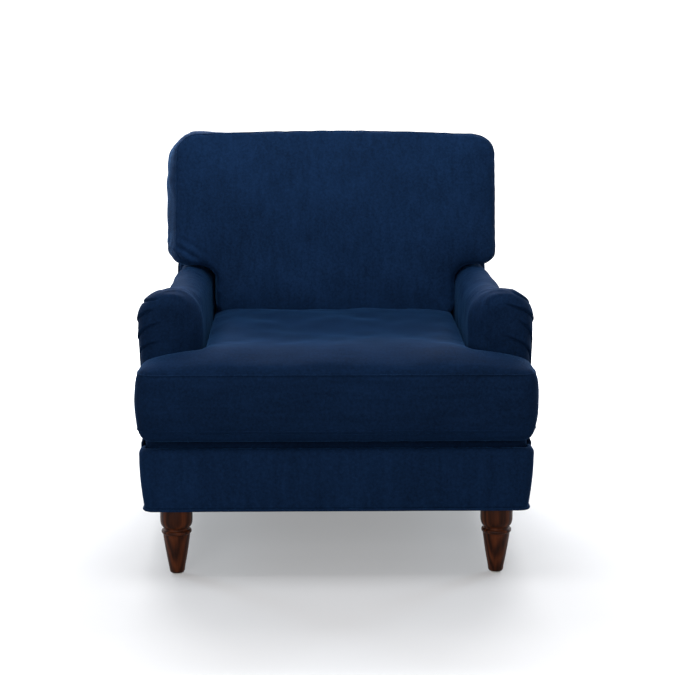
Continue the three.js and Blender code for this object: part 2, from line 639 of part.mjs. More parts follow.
// ---- front border and welt ----
// A strip that runs round the front of the base in plan, from side to side, standing up along z.
function baseStrip(half, front, rear, radius, thick, tall) {
  const edge = (inset) => {
    const [h, f, r] = [half - inset, front + inset, radius - inset];
    const line = new THREE.Path();
    line.moveTo(h, rear);
    line.lineTo(h, f + r);
    line.quadraticCurveTo(h, f, h - r, f);
    line.lineTo(-h + r, f);
    line.quadraticCurveTo(-h, f, -h, f + r);
    line.lineTo(-h, rear);
    return line.getPoints(6);
  };
  return prism(new THREE.Shape([...edge(thick), ...edge(0).reverse()]), tall);
}

function buildBorder() {
  const THICK = 4;
  const RADIUS = 22;
  const FLARE = 6;
  const tall = BORDER_TOP_Z - BASE_LOW_Z;
  const border = baseStrip(BASE_HALF_WIDTH, BASE_FRONT_Y, BASE_FRONT_Y + 41, RADIUS, THICK, tall);
  addMesh("front_border", warp(border.translate(0, 0, BASE_LOW_Z), (v) => {
    v.x += Math.sign(v.x) * FLARE * (v.z - BASE_LOW_Z) / tall;
  }), velvet());

  const WELT = 6;
  const welt = baseStrip(
    BASE_HALF_WIDTH + WELT / 2, BASE_FRONT_Y - WELT / 2, OUTER_BACK_Y - 4, RADIUS + WELT / 2, WELT, WELT);
  addMesh("base_welt", welt, velvet(), [0, 0, BASE_LOW_Z - WELT - GAP]);
}

// ---- dust cover ----
function buildDustCover() {
  const THICK = 1.5;
  const half = SIDE_RAIL_X + 6;
  const shape = new THREE.Shape();
  shape.moveTo(-half, FRONT_RAIL_Y);
  shape.lineTo(half, FRONT_RAIL_Y);
  shape.lineTo(half, OUTER_BACK_Y - 12);
  shape.lineTo(-half, OUTER_BACK_Y - 12);
  shape.closePath();
  for (const [x, y] of [[FRONT_LEG_X, FRONT_LEG_Y], [REAR_LEG_X, REAR_LEG_Y]]) {
    for (const side of [-1, 1]) {
      shape.holes.push(new THREE.Path().absarc(side * x, y, BOLT_RADIUS + 1, 0, 2 * Math.PI));
    }
  }
  addMesh("dust_cover", prism(shape, THICK), cambric(), [0, 0, FRAME_Z - THICK - GAP]);
}

buildLegs();
buildBaseFrame();
buildArmFrame();
buildBackFrame();
buildSeatSprings();
buildDeck();
buildSeatCushion();
buildBackCushion();
buildArms();
buildInsideBack();
buildOutsidePanels();
buildBorder();
buildDustCover();

export default chair;
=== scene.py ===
"""Looks of an upholstered roll-arm armchair in navy velvet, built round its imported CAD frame.

Metres, +Z up. The chair faces -Y. Places come from the frame's boxes and joint axes.
"""

import json
import math

import bmesh
import bpy
import numpy as np
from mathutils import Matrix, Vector, noise
from mathutils.bvhtree import BVHTree


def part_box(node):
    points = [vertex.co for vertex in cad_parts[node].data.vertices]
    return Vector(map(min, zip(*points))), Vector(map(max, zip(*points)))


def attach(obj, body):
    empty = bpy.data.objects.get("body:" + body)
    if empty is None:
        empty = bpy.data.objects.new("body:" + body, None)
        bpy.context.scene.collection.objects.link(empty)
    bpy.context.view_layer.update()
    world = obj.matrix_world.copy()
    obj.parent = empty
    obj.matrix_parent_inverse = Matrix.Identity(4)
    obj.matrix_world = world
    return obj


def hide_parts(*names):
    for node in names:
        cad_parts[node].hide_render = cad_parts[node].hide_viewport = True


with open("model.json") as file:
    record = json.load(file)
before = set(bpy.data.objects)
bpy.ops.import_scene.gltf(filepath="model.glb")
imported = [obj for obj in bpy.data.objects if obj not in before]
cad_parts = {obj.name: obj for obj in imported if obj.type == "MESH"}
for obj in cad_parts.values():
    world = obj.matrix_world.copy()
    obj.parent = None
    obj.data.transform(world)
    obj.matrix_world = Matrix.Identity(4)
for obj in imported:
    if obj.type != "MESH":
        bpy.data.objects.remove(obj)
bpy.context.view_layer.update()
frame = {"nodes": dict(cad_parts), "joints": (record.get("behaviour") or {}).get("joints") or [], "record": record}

SIDES = {"right": 1, "left": -1}


# ---------------------------------------------------------------- the frame's places
def joint_axis(name):
    return next(j["axis"] for j in frame["joints"] if j["name"] == name)


def box_corners(node):
    """The lowest and the highest corner of a CAD node's box."""
    return tuple(Vector(c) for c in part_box(node))


SLIDE_AXIS, LIFT_AXIS = joint_axis("seat_cushion_slide"), joint_axis("back_cushion_lift")
SEAT_SLOPE = math.atan2(SLIDE_AXIS[2], -SLIDE_AXIS[1])
BACK_RAKE = math.atan2(LIFT_AXIS[1], LIFT_AXIS[2])

SEAT_LOW, SEAT_HIGH = box_corners("seat_cushion_cover")
BACK_LOW, BACK_HIGH = box_corners("back_cushion_cover")
ARM_LOW, ARM_HIGH = box_corners("arm_cover_right")
BORDER_LOW, BORDER_HIGH = box_corners("front_border")
DECK_LOW, DECK_HIGH = box_corners("deck_cover")
PANEL_LOW, PANEL_HIGH = box_corners("outside_arm_panel_right")
OUTSIDE_LOW, OUTSIDE_HIGH = box_corners("outside_back_panel")
COVER_LOW, COVER_HIGH = box_corners("back_frame_cover")
WELT_LOW, WELT_HIGH = box_corners("base_welt")
DUST_LOW, DUST_HIGH = box_corners("dust_cover")

OUTSIDE_THICK = 0.003
FRAME_SLOPE = (OUTSIDE_HIGH.y - OUTSIDE_THICK - OUTSIDE_LOW.y) / (OUTSIDE_HIGH.z - OUTSIDE_LOW.z)


def outer_back_y(z):
    """How far back the outside back is at a height: a plane that leans with the frame."""
    return OUTSIDE_LOW.y + (z - OUTSIDE_LOW.z) * FRAME_SLOPE


# ---------------------------------------------------------------- camera, light and floor
def add_object(name, data, place=(0, 0, 0), turn=(0, 0, 0)):
    made = bpy.data.objects.new(name, data)
    made.location = place
    made.rotation_euler = turn
    bpy.context.scene.collection.objects.link(made)
    return made


def add_camera():
    """A long lens above the seat's height, looking a little down and a little to the right."""
    PLACE, TILT, TURN = (-0.06, -4.06, 1.20), 10.32, -0.965
    data = bpy.data.cameras.new("camera")
    data.lens = 91.55
    data.sensor_width = 36.0
    turn = (math.radians(90 - TILT), 0, math.radians(TURN))
    bpy.context.scene.camera = add_object("camera", data, PLACE, turn)


def add_area_light(name, place, target, size, power, colour=(1, 1, 1)):
    data = bpy.data.lights.new(name, "AREA")
    data.shape = "RECTANGLE"
    data.size, data.size_y = size
    data.energy = power
    data.color = colour
    turn = (Vector(target) - Vector(place)).to_track_quat("-Z", "Y").to_euler()
    add_object(name, data, place, turn)


def add_studio():
    """Plain soft studio light over a pale floor that curves up all round into a white backdrop."""
    AMBIENT, PALE_BLUE = 0.29, (0.7, 0.87, 1)
    bpy.context.scene.view_settings.view_transform = "Standard"
    world = bpy.data.worlds.new("studio")
    world.use_nodes = True
    background = world.node_tree.nodes["Background"]
    background.inputs["Color"].default_value = (1, 1, 1, 1)
    background.inputs["Strength"].default_value = AMBIENT
    bpy.context.scene.world = world
    add_area_light("softbox_top", (-0.1, -0.45, 2.1), (0, 0.1, 0.6), (0.9, 0.6), 17)
    add_area_light("softbox_rear", (0.0, 2.3, 2.5), (0, -0.2, 0.6), (3.6, 0.7), 190)
    for word, side in SIDES.items():
        place, target = (side * 2.4, 1.5, 0.9), (side * 0.4, -0.2, 0.45)
        add_area_light("strip_" + word, place, target, (0.5, 1.6), 30, PALE_BLUE)
    add_area_light("softbox_floor", (0.0, 3.0, 3.4), (0, 2.6, 0.0), (6.0, 3.0), 160)
    add_area_light("softbox_front", (-0.6, -3.3, 1.3), (0, 0, 0.45), (2.0, 1.2), 34)
    HALF, FLAT_RADIUS, STEEPNESS, COUNT = 7.0, 4.5, 1.2, 81
    line = np.linspace(-HALF, HALF, COUNT)
    rows = [[(x, y, STEEPNESS * max(0.0, math.hypot(x, y) - FLAT_RADIUS) ** 2) for x in line]
            for y in line]
    sweep = grid_object("floor", rows, floor_material())
    sweep.visible_shadow = False
    sweep.visible_diffuse = False


# ---------------------------------------------------------------- materials
class Nodes:
    """Short names for building a material's node tree."""

    def __init__(self, name):
        self.material = bpy.data.materials.new(name)
        self.material.use_nodes = True
        self.tree = self.material.node_tree
        self.shader = self.tree.nodes["Principled BSDF"]
        self.coord = self.tree.nodes.new("ShaderNodeTexCoord").outputs["Object"]

    def fill(self, node, inputs):
        """Gives each named input its value, or links it where that is another node's output."""
        for key, value in inputs.items():
            if isinstance(value, bpy.types.NodeSocket):
                self.tree.links.new(value, node.inputs[key])
            else:
                node.inputs[key].default_value = value
        return node

    def add(self, kind, inputs, **settings):
        node = self.tree.nodes.new(kind)
        for key, value in settings.items():
            setattr(node, key, value)
        return self.fill(node, inputs)

    def set(self, **inputs):
        """Sets inputs of the shader, each named with underscores for spaces."""
        self.fill(self.shader, {key.replace("_", " "): value for key, value in inputs.items()})

    def stretched(self, scale):
        return self.add("ShaderNodeMapping", {"Scale": scale, "Vector": self.coord}).outputs["Vector"]

    def noise(self, scale, detail, rough, vector=None):
        return self.add("ShaderNodeTexNoise", {
            "Scale": scale, "Detail": detail, "Roughness": rough,
            "Vector": vector or self.coord}).outputs["Fac"]

    def wave(self, scale, distortion, vector=None, **settings):
        return self.add("ShaderNodeTexWave", {
            "Scale": scale, "Distortion": distortion,
            "Vector": vector or self.coord}, **settings).outputs["Fac"]

    def math(self, operation, a, b):
        return self.add("ShaderNodeMath", {0: a, 1: b}, operation=operation).outputs[0]

    def blend(self, *parts):
        """The sum of (factor, weight) pairs."""
        shares = [self.math("MULTIPLY", factor, weight) for factor, weight in parts]
        total = shares[0]
        for share in shares[1:]:
            total = self.math("ADD", total, share)
        return total

    def ramp(self, factor, stops):
        node = self.add("ShaderNodeValToRGB", {"Fac": factor})
        elements = node.color_ramp.elements
        while len(elements) < len(stops):
            elements.new(0.5)
        for element, (place, colour) in zip(elements, stops):
            element.position = place
            element.color = (*colour, 1)
        return node.outputs["Color"]

    def range(self, factor, low, high):
        inputs = {"Value": factor, "To Min": low, "To Max": high}
        return self.add("ShaderNodeMapRange", inputs).outputs["Result"]

    def finish(self, colour, rough, height, strength, distance, **inputs):
        """Sets the shader's colour, roughness, bump and any other inputs; returns the material."""
        bump = self.add("ShaderNodeBump", {"Strength": strength, "Distance": distance, "Height": height})
        self.set(Base_Color=colour, Roughness=rough, Normal=bump.outputs["Normal"], **inputs)
        return self.material


def velvet(name, streaks=(70, 70, 7), light=1.0, sheen=0.17):
    """Cut velvet: a mottled, slightly streaked pile with a blue sheen at grazing angles; light scales its colours
    as painted light or shade.
    """
    DARK, MID, BRIGHT = (0.0026, 0.0100, 0.0300), (0.0040, 0.0155, 0.0470), (0.0062, 0.0225, 0.0680)
    SHEEN_BLUE = (0.12, 0.42, 1.0, 1)
    n = Nodes(name)
    broad = n.noise(7, 4, 0.6)
    mottle = n.noise(170, 4, 0.65)
    streak = n.noise(1, 3, 0.55, n.stretched(streaks))
    pile = n.noise(950, 2, 0.6)
    tone = n.blend((broad, 0.22), (streak, 0.18), (mottle, 0.38), (pile, 0.22))
    # light makes this copy's colours lighter or darker: painted light or shade for the pieces it goes on.
    stops = [(place, tuple(c * light for c in colour))
             for place, colour in ((0.38, DARK), (0.5, MID), (0.63, BRIGHT))]
    height = n.blend((pile, 1), (streak, 0.7), (mottle, 0.8))
    return n.finish(n.ramp(tone, stops), n.range(broad, 0.72, 0.9), height, 0.32, 0.0014,
                    Specular_IOR_Level=0.02, Sheen_Weight=sheen, Sheen_Roughness=0.25,
                    Sheen_Tint=SHEEN_BLUE)


def walnut(name):
    n = Nodes(name)
    grain = n.noise(1, 5, 0.62, n.stretched((150, 150, 9)))
    figure = n.wave(3.2, 7, n.stretched((9, 9, 1.2)), wave_type="RINGS")
    tone = n.blend((grain, 0.65), (figure, 0.35))
    colour = n.ramp(tone, [(0.25, (0.014, 0.0034, 0.0011)), (0.5, (0.044, 0.0105, 0.0034)),
                           (0.78, (0.100, 0.0250, 0.0080))])
    return n.finish(colour, n.range(grain, 0.3, 0.5), grain, 0.12, 0.0006,
                    Specular_IOR_Level=0.07, Coat_Weight=0.03, Coat_Roughness=0.3)


def grained(name, noise_shape, stops, rough, bump, stretch=None, **inputs):
    """A material whose colour, roughness and bump all follow one noise."""
    n = Nodes(name)
    grain = n.noise(*noise_shape, stretch and n.stretched(stretch))
    return n.finish(n.ramp(grain, stops), n.range(grain, *rough), grain, *bump, **inputs)


def hardwood(name):
    stops = [(0.3, (0.30, 0.17, 0.08)), (0.55, (0.46, 0.29, 0.15)), (0.8, (0.58, 0.40, 0.23))]
    return grained(name, (1, 5, 0.6), stops, (0.6, 0.8), (0.2, 0.0008), stretch=(12, 12, 160))


def metal(name, colour, rough):
    """Metal brushed along Y."""
    stops = [(0.3, tuple(c * 0.8 for c in colour)), (0.7, colour)]
    return grained(name, (1, 3, 0.6), stops, (rough - 0.08, rough + 0.1), (0.08, 0.0003),
                   stretch=(900, 60, 900), Metallic=1.0)


def foam(name):
    stops = [(0.3, (0.62, 0.54, 0.36)), (0.7, (0.80, 0.74, 0.56))]
    return grained(name, (420, 3, 0.7), stops, (0.85, 1.0), (0.5, 0.002))


def nylon(name):
    stops = [(0.3, (0.55, 0.54, 0.50)), (0.7, (0.74, 0.73, 0.70))]
    return grained(name, (140, 4, 0.7), stops, (0.35, 0.6), (0.15, 0.0004))


def cloth(name, dark, light, pitch):
    """A plain woven or felted cloth whose threads repeat every pitch metres."""
    WAVE_REPEAT = 20  # a wave texture of scale 1 has this many radians to a metre
    n = Nodes(name)
    scale = 2 * math.pi / pitch / WAVE_REPEAT
    warp = n.wave(scale, 0.4, bands_direction="X")
    weft = n.wave(scale, 0.4, bands_direction="Y")
    threads = n.math("MULTIPLY", warp, weft)
    wear = n.noise(26, 4, 0.6)
    tone = n.blend((threads, 0.4), (wear, 0.6))
    return n.finish(n.ramp(tone, [(0.2, dark), (0.7, light)]), n.range(wear, 0.9 - 0.08, 0.9 + 0.05),
                    threads, 0.35, pitch * 0.3)


def floor_material():
    """A pale floor whose glow rises away from the chair, so that the backdrop reads as white."""
    NEAR, FAR, NEAR_GLOW, FAR_GLOW = 0.45, 2.6, 0.26, 1.0
    SQUEEZE = (0.8, 1, 1)  # makes the dim patch wider than it is deep
    n = Nodes("floor")
    speck = n.noise(3, 2, 0.5)
    colour = n.ramp(speck, [(0.3, (0.50, 0.50, 0.515)), (0.7, (0.52, 0.52, 0.535))])
    distance = n.add("ShaderNodeVectorMath", {0: n.stretched(SQUEEZE)}, operation="LENGTH")
    glow = n.add("ShaderNodeMapRange", {
        "Value": distance.outputs["Value"], "From Min": NEAR, "From Max": FAR,
        "To Min": NEAR_GLOW, "To Max": FAR_GLOW}, interpolation_type="SMOOTHSTEP")
    n.set(Base_Color=colour, Emission_Strength=glow.outputs["Result"], Emission_Color=(1, 1, 1, 1),
          Roughness=0.8, Specular_IOR_Level=0.05)
    return n.material


# ---------------------------------------------------------------- mesh helpers
def mesh_object(name, points, faces, material, smooth=True):
    mesh = bpy.data.meshes.new(name)
    mesh.from_pydata([tuple(map(float, p)) for p in points], [], faces)
    mesh.update()
    if smooth:
        mesh.polygons.foreach_set("use_smooth", [True] * len(mesh.polygons))
    mesh.materials.append(material)
    return add_object(name, mesh)


def fix_normals(made):
    work = bmesh.new()
    work.from_mesh(made.data)
    bmesh.ops.remove_doubles(work, verts=work.verts, dist=1e-6)
    bmesh.ops.recalc_face_normals(work, faces=work.faces)
    work.to_mesh(made.data)
    work.free()
    return made


def bake_modifiers(made):
    """Replaces the mesh by what its modifiers make of it."""
    shown = made.evaluated_get(bpy.context.evaluated_depsgraph_get())
    mesh = bpy.data.meshes.new_from_object(shown)
    made.modifiers.clear()
    made.data = mesh
    mesh.polygons.foreach_set("use_smooth", [True] * len(mesh.polygons))
    return made


def modify(made, kind, **settings):
    """Replaces the mesh by what one modifier makes of it."""
    modifier = made.modifiers.new(kind, kind)
    for key, value in settings.items():
        setattr(modifier, key, value)
    return bake_modifiers(made)


def remesh(made, voxel):
    return modify(made, "REMESH", mode="VOXEL", voxel_size=voxel)


def relax(made, times):
    return modify(made, "SMOOTH", iterations=times, factor=0.5)


def refine(made):
    return modify(made, "SUBSURF", levels=1, render_levels=1)


def thicken(made, thickness):
    """Gives a sheet its thickness, inwards from the surface it has."""
    return modify(fix_normals(made), "SOLIDIFY", thickness=thickness, offset=-1)


def get_points(made):
    flat = np.empty(len(made.data.vertices) * 3, dtype=np.float64)
    made.data.vertices.foreach_get("co", flat)
    return flat.reshape(-1, 3)


def set_points(made, points):
    made.data.vertices.foreach_set("co", np.asarray(points, dtype=np.float32).ravel())
    made.data.update()


def get_normals(made):
    flat = np.empty(len(made.data.vertices) * 3, dtype=np.float32)
    made.data.vertex_normals.foreach_get("vector", flat)
    return flat.reshape(-1, 3).astype(np.float64)


def push_out(made, points, lift):
    """Puts each point at its place in points, moved out along the mesh's normal there by its lift."""
    set_points(made, points + get_normals(made) * lift[:, None])


def lumps(points, size, seed=0.0):
    """Smooth noise, mostly from -1 to 1, at each point, with bumps about size metres apart."""
    WAVES = 14
    draw = np.random.default_rng(int(seed * 10) + 5)
    total = np.zeros(len(points))
    for _ in range(WAVES):
        direction = draw.normal(size=3)
        direction *= 2 * math.pi / (size * draw.uniform(0.8, 1.9)) / np.linalg.norm(direction)
        total += np.sin(points @ direction + draw.uniform(0, 2 * math.pi))
    return total / math.sqrt(WAVES / 2) * 0.7


def smoothstep(low, high, x):
    t = np.clip((np.asarray(x, dtype=float) - low) / (high - low), 0, 1)
    return t * t * (3 - 2 * t)


def dome(distance, width):
    """0 at the edge, rising as a quarter circle to 1 at width in from it."""
    t = np.clip(1 - np.asarray(distance) / width, 0, 1)
    return np.sqrt(1 - t * t)


def grid_object(name, rows, material, close_across=False, cap_ends=False):
    """A surface through rows of points, each row with the same count."""
    rows = np.asarray(rows, dtype=float)
    count, across = rows.shape[:2]
    faces = []
    last = across if close_across else across - 1
    for i in range(count - 1):
        for j in range(last):
            k = (j + 1) % across
            faces.append((i * across + j, i * across + k, (i + 1) * across + k, (i + 1) * across + j))
    if cap_ends:
        faces.append(tuple(range(across - 1, -1, -1)))
        faces.append(tuple((count - 1) * across + j for j in range(across)))
    return mesh_object(name, rows.reshape(-1, 3), faces, material)


def tube(name, path, radius, material, closed=False, sides=8):
    """A round tube along a list of points."""
    path = np.asarray(path, dtype=float)
    ahead = np.roll(path, -1, axis=0) - np.roll(path, 1, axis=0)
    if not closed:
        ahead[0], ahead[-1] = path[1] - path[0], path[-1] - path[-2]
    ahead /= np.linalg.norm(ahead, axis=1)[:, None]
    side = np.cross(ahead[0], (0.31, 0.2, 0.93))  # any direction that no path starts along
    turns = np.linspace(0, 2 * math.pi, sides, endpoint=False)
    rows = []
    for point, along in zip(path, ahead):
        side = side - along * np.dot(side, along)
        side /= np.linalg.norm(side)
        up = np.cross(along, side)
        rows.append([point + radius * (math.cos(t) * side + math.sin(t) * up) for t in turns])
    if closed:
        rows.append(rows[0])
    return fix_normals(grid_object(name, rows, material, close_across=True, cap_ends=not closed))


def finish_piece(made, body, slot, *nodes):
    """Says which body a piece rides and which CAD nodes it replaces; slot is not used."""
    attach(made, body)
    if nodes:
        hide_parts(*nodes)
    return made


# ---------------------------------------------------------------- flat outlines
def rounded_outline(corners, radii, step=0.005):
    """Points about step apart along a closed outline of straight sides and round corners."""
    corners = [np.array(c, dtype=float) for c in corners]
    points = []
    count = len(corners)
    for i, corner in enumerate(corners):
        back = corners[i - 1] - corner
        on = corners[(i + 1) % count] - corner
        back, on = back / np.linalg.norm(back), on / np.linalg.norm(on)
        half = math.acos(np.clip(np.dot(back, on), -1, 1)) / 2
        reach = radii[i] / math.tan(half)
        middle = corner + (back + on) / np.linalg.norm(back + on) * radii[i] / math.sin(half)
        start, end = corner + back * reach, corner + on * reach
        steps = max(3, round(radii[i] * (math.pi - 2 * half) / step))
        for k in range(steps + 1):
            arm = (start - middle) * (1 - k / steps) + (end - middle) * (k / steps)
            points.append(middle + arm / np.linalg.norm(arm) * radii[i])
    return np.array(subdivided(points + points[:1], step))


def subdivided(line, step):
    """Points about step apart along an open line, without its last point."""
    dense = []
    for a, b in zip(line, line[1:]):
        pieces = max(1, round(np.linalg.norm(b - a) / step))
        dense += [a + (b - a) * k / pieces for k in range(pieces)]
    return dense


def mirrored_outline(right, radii):
    """A rounded outline from its right half's corners, from one end to the other, and their radii."""
    left = [(-x, y) for x, y in reversed(right)]
    return rounded_outline(left[-1:] + right + left[:-1], radii[:1] + radii + radii[:0:-1])


def t_outline(body, ear, length, ear_depth, corner, notch, foot):
    """A T as an outline: ears from y = 0 to ear_depth, body on to length; half-widths and radii."""
    return mirrored_outline([(ear, 0), (ear, ear_depth), (body, ear_depth), (body, length)],
                            [corner, corner * 0.7, notch, foot])


def distance_inside(points, outline):
    """For each point: its distance to the outline, the outward direction there, and the
    number of the outline's nearest point."""
    ahead = np.roll(outline, -1, axis=0) - np.roll(outline, 1, axis=0)
    outward = np.stack([ahead[:, 1], -ahead[:, 0]], axis=1)
    outward /= np.linalg.norm(outward, axis=1)[:, None]
    area = np.sum(outline[:, 0] * np.roll(outline[:, 1], -1) - np.roll(outline[:, 0], -1) * outline[:, 1])
    if area < 0:
        outward = -outward
    distance = np.empty(len(points))
    nearest = np.empty(len(points), dtype=int)
    CHUNK = 4000
    for i in range(0, len(points), CHUNK):
        gap = points[i:i + CHUNK, None, :2] - outline[None]
        square = np.einsum("ijk,ijk->ij", gap, gap)
        nearest[i:i + CHUNK] = square.argmin(axis=1)
        distance[i:i + CHUNK] = np.sqrt(square.min(axis=1))
    return distance, outward[nearest], nearest


def outline_prism(name, outline, low, high, material):
    """A closed solid on a flat outline, between two heights."""
    count = len(outline)
    points = [(x, y, low) for x, y in outline] + [(x, y, high) for x, y in outline]
    faces = [tuple(range(count)), tuple(range(2 * count - 1, count - 1, -1))]
    faces += [(i, (i + 1) % count, count + (i + 1) % count, count + i) for i in range(count)]
    return fix_normals(mesh_object(name, points, faces, material))


def seam_pucker(distance, nearest, reach, depth, seed):
    """Short gathers beside a seam, fading out at reach from it."""
    SPACING, GATHER = 0.005, 0.016
    along = nearest * SPACING
    ripple = lumps(np.stack([along, distance * 0.35, np.full(len(distance), seed)], axis=1), GATHER)
    return depth * ripple * np.exp(-distance / reach)


# ---------------------------------------------------------------- cushions
CUSHION_VOXEL = 0.005
SEAM_PULL = 0.006  # how far from a seam the cloth is drawn in


def inflate(made):
    """Lets cloth simulation swell a cushion under pressure, each point moving by at most CAP."""
    FRAMES, PRESSURE, CAP = 10, 1.5, 0.004
    before = get_points(made)
    modifier = made.modifiers.new("puff", "CLOTH")
    settings = modifier.settings
    settings.quality = 5
    settings.mass = 0.3
    settings.tension_stiffness = settings.compression_stiffness = 25
    settings.shear_stiffness = 8
    settings.bending_stiffness = 1.2
    settings.use_pressure = True
    settings.uniform_pressure_force = PRESSURE
    settings.effector_weights.gravity = 0
    settings.vertex_group_mass = "held"
    modifier.collision_settings.use_collision = False
    scene = bpy.context.scene
    for number in range(1, FRAMES + 1):
        scene.frame_set(number)
    bake_modifiers(made)
    scene.frame_set(1)
    move = get_points(made) - before
    size = np.linalg.norm(move, axis=1)
    move *= (np.minimum(size, CAP) / np.maximum(size, 1e-9))[:, None]
    set_points(made, before + move)


def swell_and_place(made, held, place):
    """Swells a cushion except where it's held, smooths it and puts it in the chair's frame."""
    group = made.vertex_groups.new(name="held")
    for index, weight in enumerate(held):
        if weight > 0.01:
            group.add([index], float(min(weight, 1)), "REPLACE")
    inflate(made)
    relax(made, 2)
    set_points(made, place(get_points(made)))
    refine(made)

ZIP_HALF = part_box("seat_zip_tape")[1][0]


def near_zip(x, offset):
    """1 along a zip's tape, falling to 0 past its ends and beside it.

    The offset is the distance from the tape's middle.
    """
    return smoothstep(0.021, 0.015, np.abs(offset)) * smoothstep(ZIP_HALF + 0.012, ZIP_HALF, np.abs(x))


# The seat cushion is made level: across, back from its front edge, and up.
SEAT_DEPTH = SEAT_HIGH.y - SEAT_LOW.y
SEAT_LENGTH = SEAT_DEPTH / math.cos(SEAT_SLOPE)
SEAT_ORIGIN = Vector((0, SEAT_LOW.y, SEAT_LOW.z + SEAT_DEPTH * math.tan(SEAT_SLOPE) - 0.001))
SEAT_SEAM_LOW, SEAT_SEAM_HIGH = 0.027, 0.149
SEAT_ZIP_UP = 0.085
SEAT_BULGE = 0.0065  # how far the boxing bows out between its seams
SEAT_EAR = SEAT_HIGH.x - 0.003
SEAT_BODY = ARM_LOW.x - 0.0008
EAR_DEPTH = 0.1155


def seat_place(points):
    """From the cushion's own (across, back, up) to the chair's frame."""
    points = np.asarray(points, dtype=float)
    c, s = math.cos(SEAT_SLOPE), math.sin(SEAT_SLOPE)
    return np.stack([
        points[:, 0],
        SEAT_ORIGIN.y + points[:, 1] * c + points[:, 2] * s,
        SEAT_ORIGIN.z - points[:, 1] * s + points[:, 2] * c,
    ], axis=1)


def seat_outline():
    REAR_GAP, EAR_CORNER, NOTCH, REAR_CORNER = 0.0068, 0.034, 0.012, 0.030
    length = SEAT_LENGTH - SEAT_BULGE - REAR_GAP
    outline = t_outline(SEAT_BODY, SEAT_EAR, length, EAR_DEPTH, EAR_CORNER, NOTCH, REAR_CORNER)
    return outline + np.array([0, SEAT_BULGE])


def seat_crown(x, back):
    """Height of the top panel above its seam: full between the arms, falling to the front and
    the ears, and lower again under the back cushion."""
    FRONT_ROLL, EAR_FALL, EAR_ROLL, ARM_FALL, ARM_ROLL, NOTCH_ROLL = 0.115, 0.205, 0.035, 0.075, 0.008, 0.022
    level = 0.0505 + 0.022 * smoothstep(0.12, 0.50, back)
    rise = dome(back - SEAT_BULGE, FRONT_ROLL) ** 1.15
    from_ear = SEAT_EAR - np.abs(x)
    outer = 1 - (1 - np.clip(from_ear / EAR_FALL, 0, 1)) ** 2
    outer = 0.35 * dome(from_ear, EAR_ROLL) + 0.65 * outer
    beside_arm = SEAT_BODY - np.abs(x)
    shoulder = 0.80 + 0.20 * dome(beside_arm, ARM_FALL)
    edge = dome(beside_arm, ARM_ROLL)
    body_side = 1 + (shoulder * edge - 1) * smoothstep(EAR_DEPTH - 0.03, EAR_DEPTH + 0.03, back)
    ear_rear = np.where(beside_arm < 0, dome(EAR_DEPTH + SEAT_BULGE - back, NOTCH_ROLL), 1)
    sitting = SEAT_LENGTH * 0.77
    rear = 1 - 0.58 * smoothstep(sitting, sitting + 0.035, back)
    return level * rise * outer * body_side * ear_rear * rear


def make_seat_cushion(material):
    BESIDE_ARM_BOW, ZIP_CHANNEL, FRONT_DROOP = 0.0008, 0.0026, 0.0055
    outline = seat_outline()
    made = outline_prism("seat_cushion", outline, SEAT_SEAM_LOW, SEAT_SEAM_HIGH, material)
    remesh(made, CUSHION_VOXEL)
    points = get_points(made)
    x, back, up = points.T
    distance, outward, nearest = distance_inside(points, outline)
    tall = SEAT_SEAM_HIGH - SEAT_SEAM_LOW
    t = (up - SEAT_SEAM_LOW) / tall
    side = np.exp(-(distance / SEAM_PULL) ** 2)
    # The boxing bows out between its seams, but hardly at all between the arms.
    bow = SEAT_BULGE * np.sin(math.pi * np.clip(t, 0, 1)) ** 0.8 * side
    bow *= 1 + 0.25 * lumps(points, 0.11, 1)
    pinched = (np.abs(x) < ARM_LOW.x + 0.02) & (back > EAR_DEPTH)
    bow = np.where(pinched, np.minimum(bow, BESIDE_ARM_BOW), bow)
    points[:, :2] += outward * bow[:, None]
    channel = near_zip(x, up - SEAT_ZIP_UP)
    channel = channel * smoothstep(SEAT_LENGTH - 0.030, SEAT_LENGTH - 0.012, back)
    back -= ZIP_CHANNEL * channel
    # The top panel is crowned, the bottom panel swells down and droops at its front edge.
    crown = seat_crown(x, back)
    top = smoothstep(0.86, 1.0, t)
    floor = smoothstep(0.14, 0.0, t)
    up += crown * top
    swell = SEAT_SEAM_LOW - 0.001
    up -= swell * (0.8 * dome(distance, 0.030) + 0.2 * dome(distance, 0.12)) * floor
    up -= FRONT_DROOP * floor * smoothstep(0.045, 0.020, back) * dome(distance, 0.012)
    # Soft lumps over the sitting area, and gathers beside the seams.
    soft = 0.0022 * lumps(points, 0.16, 2) + 0.0011 * lumps(points, 0.07, 3)
    up += soft * top * dome(distance, 0.08)
    seam_gap = np.minimum(np.abs(t - 1), np.abs(t)) * tall
    edge = np.sqrt(np.minimum(distance, 1) ** 2 + seam_gap ** 2)
    pucker = seam_pucker(edge, nearest, 0.014, 0.0011, 4.0)
    pucker = pucker - 0.0022 * np.exp(-(edge / SEAM_PULL) ** 2)
    set_points(made, points)
    push_out(made, points, pucker)
    swell_and_place(made, np.maximum(np.exp(-(edge / 0.008) ** 2), channel), seat_place)
    return finish_piece(made, "seat_cushion", "velvet", "seat_cushion_cover", "seat_cushion_core")


def on_surface(cushion, path, lift):
    """The nearest place on a cushion to each point of a path, lifted off it a little."""
    surface = BVHTree.FromObject(cushion, bpy.context.evaluated_depsgraph_get())
    found = [surface.find_nearest(Vector(p)) for p in path]
    return np.array([spot + normal * lift for spot, normal, _, _ in found])


